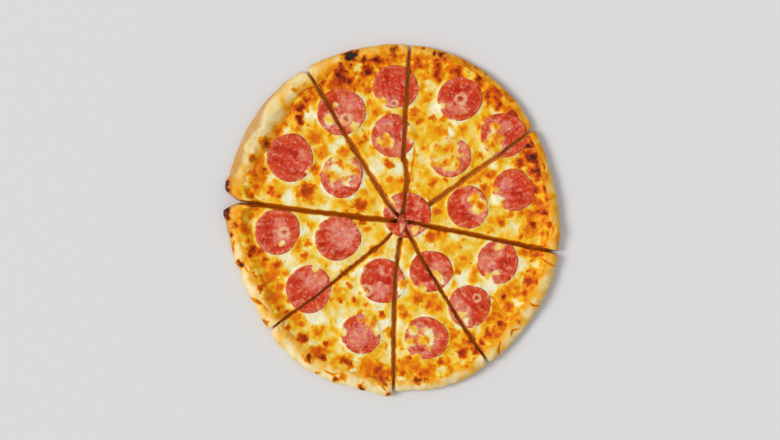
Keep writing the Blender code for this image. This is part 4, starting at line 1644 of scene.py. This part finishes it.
@dataclass(frozen=True)
class Cheese:
    """The melted cheese of one slice."""

    wedge: Wedge
    thickness: float = 0.0024
    thin: float = 0.0006                # its thickness on the slope of the rim
    clearance: float = 0.00035
    edge: float = 0.72                  # inset at which it starts to thicken, in rim widths
    wave_height: float = 0.0004
    wave_length: float = 0.062
    wave_crest: complex = -0.006 - 0.021j
    rings: int = 200
    wall_rows: int = 4
    sauced_insets: tuple = (0.8, 1.0)   # where it runs past the sauce, and where it lies on it
    edge_stations: int = 400            # where the outer edge is searched for
    edge_droop: float = 0.0017
    edge_droop_reach: float = 0.0060
    edge_droop_curve: float = 1.5
    # Relief, and what each cause adds to it
    relief_height: float = 0.00055
    rise_low: float = 0.9
    rise_fine: float = 0.45
    rise_blister: float = 0.9
    rise_spot: float = 0.5
    relief_when_thin: float = 0.35      # share of it that is left on the slope of the rim
    relief_from: float = 0.05           # how far outside the thin edge it begins to grow
    relief_full: float = 0.95
    tear_depth: float = 0.0009
    sway: tuple = (Grain(79, 0.006, 0.0022), Grain(83, 0.006, 0.0022))
    blisters: tuple = (0.0105, 0.0016, 0.0052, 0.9)     # spacing, radii and crowd
    blister_seed: int = 89
    low: Grain = Grain(97, 0.013, 1.0, 3)
    fine: Grain = Grain(101, 0.0045, 1.0, 3)
    slow: Grain = Grain(103, 0.034)
    # How baked it is, and what each cause adds to that
    bake: float = 0.29
    bake_low: float = 0.20
    bake_fine: float = 0.04
    bake_slow: float = 0.06
    bake_roast: float = 0.10
    usual_roast: float = 0.7
    bake_blister: float = 0.27
    bake_curd: float = -0.27
    bake_near_rim: tuple = (0.16, 0.13, 0.16)   # everywhere, with the fine and with the low grain
    near_rim_insets: tuple = (1.7, 0.85)
    char_bake: tuple = (0.27, 0.5)
    bake_halo: float = -0.18
    bake_beside_cut: float = -0.04
    # Painted shade where the top slumps into a cut, on its edge and on the cut face below
    painted_shade_at_cut: float = 0.34
    least_bake: float = 0.02
    underside_bake: float = 0.6
    # Where it meets a round: how high it stands, how deep it dips under, and over what distances
    nearest_round: float = 0.004        # farther from a round it isn't felt
    bank: float = 0.0007
    bank_reach: float = 0.0030
    under: float = 0.0008
    bare_edge: tuple = (0.0002, -0.0012)
    lap_edge: tuple = (-0.12, 0.22)
    lap_sink: float = 0.0009
    lap_rise: float = 0.0012
    lap_relief: float = 0.35
    lap_reach: float = 0.0016
    lap_middle: tuple = (0.05, 0.5)     # where a lap grows too thick to see through
    lap_hides: float = 0.8              # how much of the sausage it hides there
    veil_edge: tuple = (0.0006, -0.0008)
    halo: float = 0.6
    halo_grain: Grain = Grain(107, 0.008)
    halo_edge: tuple = (0.0042, 0.0006)
    # Where it is cut: how far it slumps, and over what distances it changes colour, with painted shade
    # right at the cut
    slump: float = 0.0011
    slump_reach: float = 0.0024
    slump_curve: float = 2.5
    slump_held: float = 0.6             # how much less it slumps where it laps over a round
    beside_cut: tuple = (0.0032, 0.0010)
    at_cut: float = 0.0012

    def settle(self, plan: Array) -> Array:
        """Where points come to lie."""
        return wander(self.wedge.fray(plan))

    def depth(self, inset: Array) -> Array:
        """Thickness, which thins out on the slope of the rim."""
        share = np.clip((inset - self.edge) / (1 - self.edge), 0, 1)
        return self.thin + (self.thickness - self.thin) * np.sqrt(share)

    def smooth_top(self, plan: Array) -> Array:
        """Top of the layer without its fine relief, on which pepperoni rests.

        Args:
            plan: points on this slice with straight cuts.

        Returns:
            One height for each point.
        """
        inset = self.wedge.inset(plan)
        deep = self.depth(inset)
        offset = (plan - self.wave_crest) * TAU / self.wave_length
        wave = self.wave_height * np.cos(offset.real) * np.cos(offset.imag)
        sauce = Sauce(self.wedge).top(plan, inset)
        on_rim = Crust(self.wedge).relief(plan, inset)
        return sauce + on_rim + self.clearance + deep + wave * np.minimum(1, deep / self.thickness)

    def fields(self, plan: Array) -> tuple[Array, dict]:
        """Height and finish values of the top at each point.

        Args:
            plan: points on this slice with straight cuts.

        Returns:
            The heights, and the values by name.
        """
        melt = self.whole(plan)
        for each in ROUNDS:
            outside = each.outside(melt.seat)
            if outside.min() <= self.nearest_round:
                self.meet_round(melt, each, outside)
        self.meet_cuts(melt)
        return melt.height, {"bake": np.clip(melt.bake, self.least_bake, 1.0), "veil": melt.veil}

    def whole(self, plan: Array) -> Melt:
        """The top as it would be without rounds and cuts.

        Args:
            plan: points on this slice with straight cuts.

        Returns:
            The top at those points.
        """
        inset, roasted = self.wedge.inset(plan), roast(np.angle(plan))
        top, seat = self.smooth_top(plan), lean(plan)
        swayed = plan + self.sway[0].at(plan) + 1j * self.sway[1].at(plan)
        blister, own = Noise(self.blister_seed).domes(swayed, *self.blisters)
        low, fine = self.low.at(plan), self.fine.at(plan)
        spots, tears = scorch(seat), crease(seat)
        relief = self.rise_low * low + self.rise_fine * fine
        relief = relief + self.rise_blister * blister * own + self.rise_spot * spots
        relief = self.relief_height * relief
        grown = smooth(inset, self.edge - self.relief_from, self.relief_full)
        shown = self.relief_when_thin + (1 - self.relief_when_thin) * grown
        bake = self.bake + self.bake_low * low + self.bake_fine * fine
        bake = bake + self.bake_slow * self.slow.at(plan)
        bake = bake + self.bake_roast * (roasted - self.usual_roast)
        bake = bake + self.bake_blister * smooth(blister, 0.0, 1.0) * own
        bake = bake + self.bake_curd * curd(seat)
        near_rim = smooth(inset, *self.near_rim_insets) * roasted
        everywhere, with_fine, with_low = self.bake_near_rim
        bake = bake + near_rim * (everywhere + with_fine * fine + with_low * low)
        bake = charred(bake, np.maximum(spots, tears), *self.char_bake)
        height = top + relief * shown - self.tear_depth * tears
        return Melt(plan, seat, top, relief, near_rim, height, bake, np.zeros(plan.shape))

    def meet_round(self, melt: Melt, each: Round, outside: Array) -> None:
        """Work a round into the top: sunk where it is bare, and under a lap elsewhere.

        Args:
            melt: the top so far.
            each: the round.
            outside: distance of each point outside the round's edge.
        """
        lap = each.lap(melt.seat)
        covered = smooth(lap, *self.lap_edge)
        meat = round_top(each, self.wedge, melt.plan, melt.seat)
        beside = melt.height + self.bank * smooth(outside, self.bank_reach, 0.0)
        bare = smooth(outside, *self.bare_edge) * (1 - covered)
        height = beside + (melt.top - self.under - beside) * bare
        on_top = meat - self.lap_sink + self.lap_rise * covered + self.lap_relief * melt.relief
        melt.height = height + (on_top - height) * smooth(outside, self.lap_reach, 0.0) * covered
        thin = covered * (1 - self.lap_hides * smooth(lap, *self.lap_middle))
        melt.veil = np.maximum(melt.veil, thin * smooth(outside, *self.veil_edge))
        halo = smooth(outside, *self.halo_edge) * (self.halo + self.halo_grain.at(melt.plan))
        melt.bake = melt.bake + self.bake_halo * halo * (1 - melt.near_rim)

    def meet_cuts(self, melt: Melt) -> None:
        """Let the top slump at the two cuts, and colour it there, with painted shade right at each
        cut's edge.

        Args:
            melt: the top so far.
        """
        first, second = self.wedge.from_cuts(melt.plan)
        aside = np.minimum(first - self.wedge.first.gap / 2, second - self.wedge.second.gap / 2)
        slump = self.slump * np.clip(1 - aside / self.slump_reach, 0, 1) ** self.slump_curve
        melt.height = melt.height - slump * (1 - self.slump_held * melt.veil)
        melt.bake = melt.bake + self.bake_beside_cut * smooth(aside, *self.beside_cut)
        # Painted shade right at the cut's edge
        melt.bake = melt.bake + self.painted_shade_at_cut * smooth(aside, self.at_cut, 0.0)

    def build(self) -> bpy.types.Object:
        """Make the whole layer: its top, the cut faces, the outer edge and the underside.

        Returns:
            The object, without its finish.
        """
        wedge, surface = self.wedge, Surface()
        ring = np.repeat(np.arange(self.rings + 1), np.arange(1, self.rings + 2))
        first = ring * (ring + 1) // 2
        place = (np.arange(len(ring)) - first) / np.maximum(ring, 1)
        place = np.where(ring == 0, 0.5, place)
        heading = wedge.start + wedge.turn * place
        stations = wedge.headings(self.edge_stations)
        reach = wedge.walk(wedge.apex, stations, cheese_edge(stations), 0.0)
        reach = np.interp(heading, stations, reach)
        plan = wedge.apex + ring / self.rings * reach * ray(heading)
        height, values = self.fields(plan)
        from_edge = reach * (1 - ring / self.rings)
        drooping = smooth(from_edge, self.edge_droop_reach, 0.0) ** self.edge_droop_curve
        height = height - self.edge_droop * drooping
        surface.patch(self.settle(plan), height, fan_faces(self.rings), **values)
        numbers = np.arange(self.rings + 1)
        starts = numbers * (numbers + 1) // 2
        outer = starts[-1] + numbers
        for side, flip in ((starts, False), (starts + numbers, True), (outer, True)):
            beside = {name: value[side] for name, value in values.items()}
            self.add_wall(surface, plan[side], height[side], beside, flip)
        self.add_underside(surface, plan[outer])
        return surface.build(f"melted_cheese_{wedge.number + 1}")

    def floor(self, plan: Array) -> Array:
        """Underside of the cheese: in the sauce, or on the crust where it runs past the sauce.

        Args:
            plan: points on this slice with straight cuts.

        Returns:
            One height for each point.
        """
        inset = self.wedge.inset(plan)
        bare = Crust(self.wedge).top(plan, inset)
        sauce = self.clearance + Sauce(self.wedge).thickness
        sauce = sauce * smooth(inset, *self.sauced_insets)
        return bare + sauce - SMALLEST_STEP

    def add_wall(
        self, surface: Surface, plan: Array, height: Array, values: dict, flip: bool
    ) -> None:
        """A face from a side of the top down to the sauce.

        Args:
            surface: what to add it to.
            plan, height: points of the top along that side.
            values: what the finish reads there.
            flip: whether the face lies to the left of those points.
        """
        down = np.linspace(0, 1, self.wall_rows)[None, :]
        bottom = np.minimum(self.floor(plan), height - SMALLEST_STEP)
        rows = height[:, None] + (bottom - height)[:, None] * down
        plan = np.broadcast_to(plan[:, None], rows.shape)
        values = {name: np.broadcast_to(value[:, None], rows.shape) for name, value in values.items()}
        surface.patch(self.settle(plan), rows, grid_faces(*rows.shape, flip), **values)

    def add_underside(self, surface: Surface, outer: Array) -> None:
        """The hidden lower side, in a few rows.

        Args:
            surface: what to add it to.
            outer: points of the outer edge.
        """
        plan = self.wedge.apex + (thinned(outer) - self.wedge.apex) * HIDDEN_ROWS
        faces = grid_faces(*plan.shape, True)
        surface.patch(self.settle(plan), self.floor(plan), faces, bake=self.underside_bake)


def round_top(each: Round, wedge: Wedge, plan: Array, seat: Array) -> Array:
    """Top of a round of pepperoni on a slice.

    Args:
        each: the round.
        wedge: the slice.
        plan: points of the plan with straight cuts.
        seat: where those points come to lie.

    Returns:
        One height for each point.
    """
    share = np.minimum(each.share(seat), 1)
    rest = rest_height(wedge, plan)
    rounding = each.rounding * smooth(each.outside(seat), -each.rounding_reach, 0.0) ** 2
    return rest + each.thickness - each.sink + each.cup * share**2 - rounding


def rest_height(wedge: Wedge, plan: Array) -> Array:
    """Smooth surface that pepperoni rests on: cheese, or the layer that is bare there.

    Args:
        wedge: the slice.
        plan: points on it with straight cuts.

    Returns:
        One height for each point.
    """
    inset = wedge.inset(plan)
    cheese = Cheese(wedge)
    on_sauce = Crust(wedge).top(plan, inset) + cheese.clearance + Sauce(wedge).thickness
    return np.where(inset >= cheese.edge, cheese.smooth_top(plan), on_sauce)


@dataclass(frozen=True)
class PepperoniPiece:
    """A round, or the part of it on a run of neighbouring slices."""

    each: Round
    first: Wedge
    last: Wedge
    search: float = 1.3                 # how far from the round's centre to look, in radii
    samples: int = 70
    smallest: float = 12e-6             # area of the smallest piece that is kept
    longest: float = 1.2                # no piece reaches farther from its middle, in diameters
    segments: int = 110
    rows: int = 15
    row_curve: float = 1.5              # crowds the rows toward the piece's edge
    side_rows: int = 4
    bury: float = 0.0011
    ripples: tuple = (Grain(113, 0.003, 0.00012, 3), Grain(127, 0.011, 0.0002))
    blister_rise: float = 0.0003

    def settle(self, plan: Array) -> Array:
        """Where points come to lie, torn at the cuts if the piece keeps to one slice."""
        plan = self.first.fray(plan) if self.first is self.last else plan
        return wander(plan)

    def sides(self) -> list[tuple[complex, complex]]:
        """The two cut faces that can part the round.

        Returns:
            A point on each and its inward direction.
        """
        start = self.first.start
        end = self.last.start + self.last.turn
        inward, back = 1j * ray(start), -1j * ray(end)
        return [
            (KNIFE_CENTRE + inward * self.first.first.gap / 2, inward),
            (KNIFE_CENTRE + back * self.last.second.gap / 2, back),
        ]

    def inside(self, plan: Array) -> Array:
        """Which points lie on this piece.

        Args:
            plan: points of the plan with straight cuts.

        Returns:
            True for those on it.
        """
        held = self.each.share(lean(plan)) < 1
        for place, inward in self.sides():
            held &= ((plan - place) * np.conj(inward)).real > 0
        return held

    def middle(self) -> complex | None:
        """Look for the piece.

        Returns:
            Its middle, or None where it is too small to keep.
        """
        steps = np.linspace(-self.search, self.search, self.samples) * self.each.diameter / 2
        plan = self.each.centre + steps[None, :] + 1j * steps[:, None]
        held = self.inside(plan)
        area = held.sum() * (steps[1] - steps[0]) ** 2
        return complex(plan[held].mean()) if area > self.smallest else None

    def reach(self, middle: complex, heading: Array) -> Array:
        """Distance from the piece's middle to its outline, for each heading in radians."""
        far = np.full(heading.shape, self.each.diameter * self.longest)
        return farthest(far, lambda distance: self.inside(middle + distance * ray(heading)))

    def build(self, name: str, middle: complex) -> bpy.types.Object:
        """Make the piece: top, side and underside.

        Args:
            name: of the object.
            middle: of the piece.

        Returns:
            The object, without its finish.
        """
        wedge, each, surface = self.first, self.each, Surface()
        heading = np.linspace(0, TAU, self.segments + 1)[None, :]
        reach = self.reach(middle, heading)
        share = (1 - (1 - np.linspace(0, 1, self.rows)) ** self.row_curve)[:, None]
        plan = middle + share * reach * ray(heading)
        ripple = sum(grain.at(plan) for grain in self.ripples)
        seat = lean(plan)
        pale, seared = each.blisters(seat)
        height = round_top(each, wedge, plan, seat) + ripple + self.blister_rise * pale
        values = {"rim": each.share(seat), "film": each.film(seat), "ring": pale, "spot": seared}
        surface.patch(self.settle(plan), height, grid_faces(*plan.shape), **values)
        edge = plan[-1]
        down = np.linspace(0, 1, self.side_rows)[:, None]
        bottom = rest_height(wedge, edge) - self.bury
        side = height[-1] + (bottom - height[-1]) * down
        edges = np.broadcast_to(edge, side.shape)
        surface.patch(self.settle(edges), side, grid_faces(*side.shape), rim=1.0, film=0.0)
        under = middle + (edge[None, :] - middle) * np.array([0.0, 1.0])[:, None]
        low = np.vstack((np.full(bottom.shape, bottom.mean()), bottom))
        surface.patch(self.settle(under), low, grid_faces(*under.shape, True), rim=1.0)
        return surface.build(name, weld=WELD)


def pepperoni(finish: bpy.types.Material) -> None:
    """All rounds, each in one piece or parted by the cuts.

    Args:
        finish: the sausage's material.
    """
    alone = tuple((wedge.number,) for wedge in WEDGES)
    for each in ROUNDS:
        groups = MIDDLE_GROUPS if each is ROUNDS[-1] else alone
        found = []
        for group in groups:
            piece = PepperoniPiece(each, WEDGES[group[0]], WEDGES[group[-1]])
            middle = piece.middle()
            if middle is not None:
                found.append((piece, middle))
        for letter, (piece, middle) in zip("abcdef", found):
            suffix = f"{each.number:02d}" + (f"_{letter}" if len(found) > 1 else "")
            sausage = piece.build(f"pepperoni_round_{suffix}", middle)
            dress(sausage, finish, Slot.PEPPERONI, f"pepperoni_{suffix}")


@dataclass(frozen=True)
class TornMiddle:
    """Scraps of sausage and cheese that the knife dragged over the crossing of the cuts."""

    centre: complex = 0.0088 - 0.0048j
    half_width: float = 0.0044
    half_height: float = 0.0105
    lift: float = 0.0004
    bury: float = 0.0022
    edge_curve: int = 5                 # how suddenly its edge dips
    sausage: tuple = (-0.001, 0.006)    # how far above its centre it turns from cheese to sausage
    seared_at: float = 0.75             # share of the way out that is seared
    seared_edge: tuple = (0.25, 0.1)
    seared: float = 1.1
    segments: int = 90
    rows: int = 24
    edge_circle: float = 0.005          # on which the raggedness of its edge is read
    edge_grain: Grain = Grain(151, 0.004, 0.24, 2)
    lumps: Grain = Grain(163, 0.004, 0.00045, 3)

    def build(self) -> bpy.types.Object:
        """Make the scrap: a lumpy sheet whose edge dips into the rounds.

        Returns:
            The object, without its finish.
        """
        surface, middle = Surface(), ROUNDS[-1]
        heading = np.linspace(0, TAU, self.segments + 1)[None, :]
        share = np.linspace(0, 1, self.rows)[:, None]
        uneven = 1 + self.edge_grain.at(self.edge_circle * ray(heading))
        spread = self.half_width * np.cos(heading) + 1j * self.half_height * np.sin(heading)
        plan = self.centre + share * uneven * spread
        rest = rest_height(WEDGES[0], plan) + middle.thickness - middle.sink
        top = rest + self.lift + self.lumps.at(plan)
        height = top - self.bury * share**self.edge_curve
        high = smooth(plan.imag, *(self.centre.imag + above for above in self.sausage))
        seared = self.seared * smooth(np.abs(share - self.seared_at), *self.seared_edge)
        dark = np.maximum(high, seared)
        values = {"film": 0.8 - 0.5 * high, "spot": 0.8 * dark, "ring": 0.7 * (1 - high), "rim": 0.5}
        surface.patch(wander(plan), height, grid_faces(*plan.shape), **values)
        under = self.centre + (plan[-1] - self.centre) * np.array([0.0, 1.0])[:, None]
        surface.patch(wander(under), height[-1:], grid_faces(*under.shape, True), rim=1.0)
        return surface.build("torn_middle", weld=WELD)


# Studio

@dataclass(frozen=True)
class Studio:
    """Floor, lights and the camera straight above."""

    picture_width: float = 0.6864
    picture_middle: complex = -0.0022 - 0.0004j
    picture_level: float = 0.008
    lens: float = 85.0
    sensor: float = 36.0
    floor_size: float = 8.0
    floor_level: float = -0.0002
    sun_strength: float = 1.95
    sun_spread: float = 24.0            # degrees across, which softens its shadows
    sun_tilt: float = -44.0             # degrees from straight above
    sun_turn: float = -4.0
    sun_tone: Tone = Tone(255, 252, 246)
    sky_strength: float = 0.66
    sky_tone: Tone = Tone(241, 243, 247)

    def floor(self) -> None:
        """A plain pale floor at the pizza's underside."""
        bpy.ops.mesh.primitive_plane_add(size=self.floor_size, location=(0, 0, self.floor_level))
        plane = bpy.context.object
        plane.name = "floor"
        plane.data.materials.append(FloorFinish().build())
        plane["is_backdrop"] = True

    def lights(self) -> None:
        """Soft light from the left, and a pale surround."""
        lamp = bpy.data.lights.new("key", "SUN")
        lamp.energy = self.sun_strength
        lamp.angle = np.radians(self.sun_spread)
        lamp.color = self.sun_tone.rgba()[:3]
        light = bpy.data.objects.new("key", lamp)
        light.rotation_euler = (0, np.radians(self.sun_tilt), np.radians(self.sun_turn))
        bpy.context.scene.collection.objects.link(light)
        world = bpy.data.worlds.new("surround")
        world.use_nodes = True
        background = world.node_tree.nodes["Background"]
        background.inputs["Color"].default_value = self.sky_tone.rgba()
        background.inputs["Strength"].default_value = self.sky_strength
        bpy.context.scene.world = world

    def camera(self) -> None:
        """The camera, straight above, with the photograph's framing."""
        camera = bpy.data.cameras.new("camera")
        camera.lens = self.lens
        camera.sensor_width = self.sensor
        eye = bpy.data.objects.new("camera", camera)
        aim = self.picture_middle + OUTLINE_SHIFT
        distance = self.picture_width * self.lens / self.sensor
        eye.location = (aim.real, aim.imag, self.picture_level + distance)
        bpy.context.scene.collection.objects.link(eye)
        bpy.context.scene.camera = eye

    def build(self) -> None:
        """Set up everything that isn't pizza."""
        self.floor()
        self.lights()
        self.camera()
        bpy.context.scene.view_settings.view_transform = "Standard"


def write_sizes() -> None:
    """Work out the solid model's box and the dressed model's box, without keeping them."""
    boxes = {"cad": CAD_BOX, "visual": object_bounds()}
    {name: [list(corner) for corner in box] for name, box in boxes.items()}


def main() -> None:
    """Build every layer of every slice, then the rounds, then the studio."""
    logging.basicConfig(level=logging.INFO, format="%(message)s")
    dough, sauce, cheese = CrustFinish().build(), SauceFinish().build(), CheeseFinish().build()
    for wedge in WEDGES:
        number = wedge.number + 1
        dress(Crust(wedge).build(), dough, Slot.CRUST, f"crust_{number}")
        dress(Sauce(wedge).build(), sauce, Slot.SAUCE, f"sauce_{number}")
        dress(Cheese(wedge).build(), cheese, Slot.CHEESE, f"cheese_{number}")
    sausage = PepperoniFinish().build()
    pepperoni(sausage)
    dress(TornMiddle().build(), sausage, Slot.PEPPERONI)
    Studio().build()
    write_sizes()


if __name__ == "__main__":
    main()
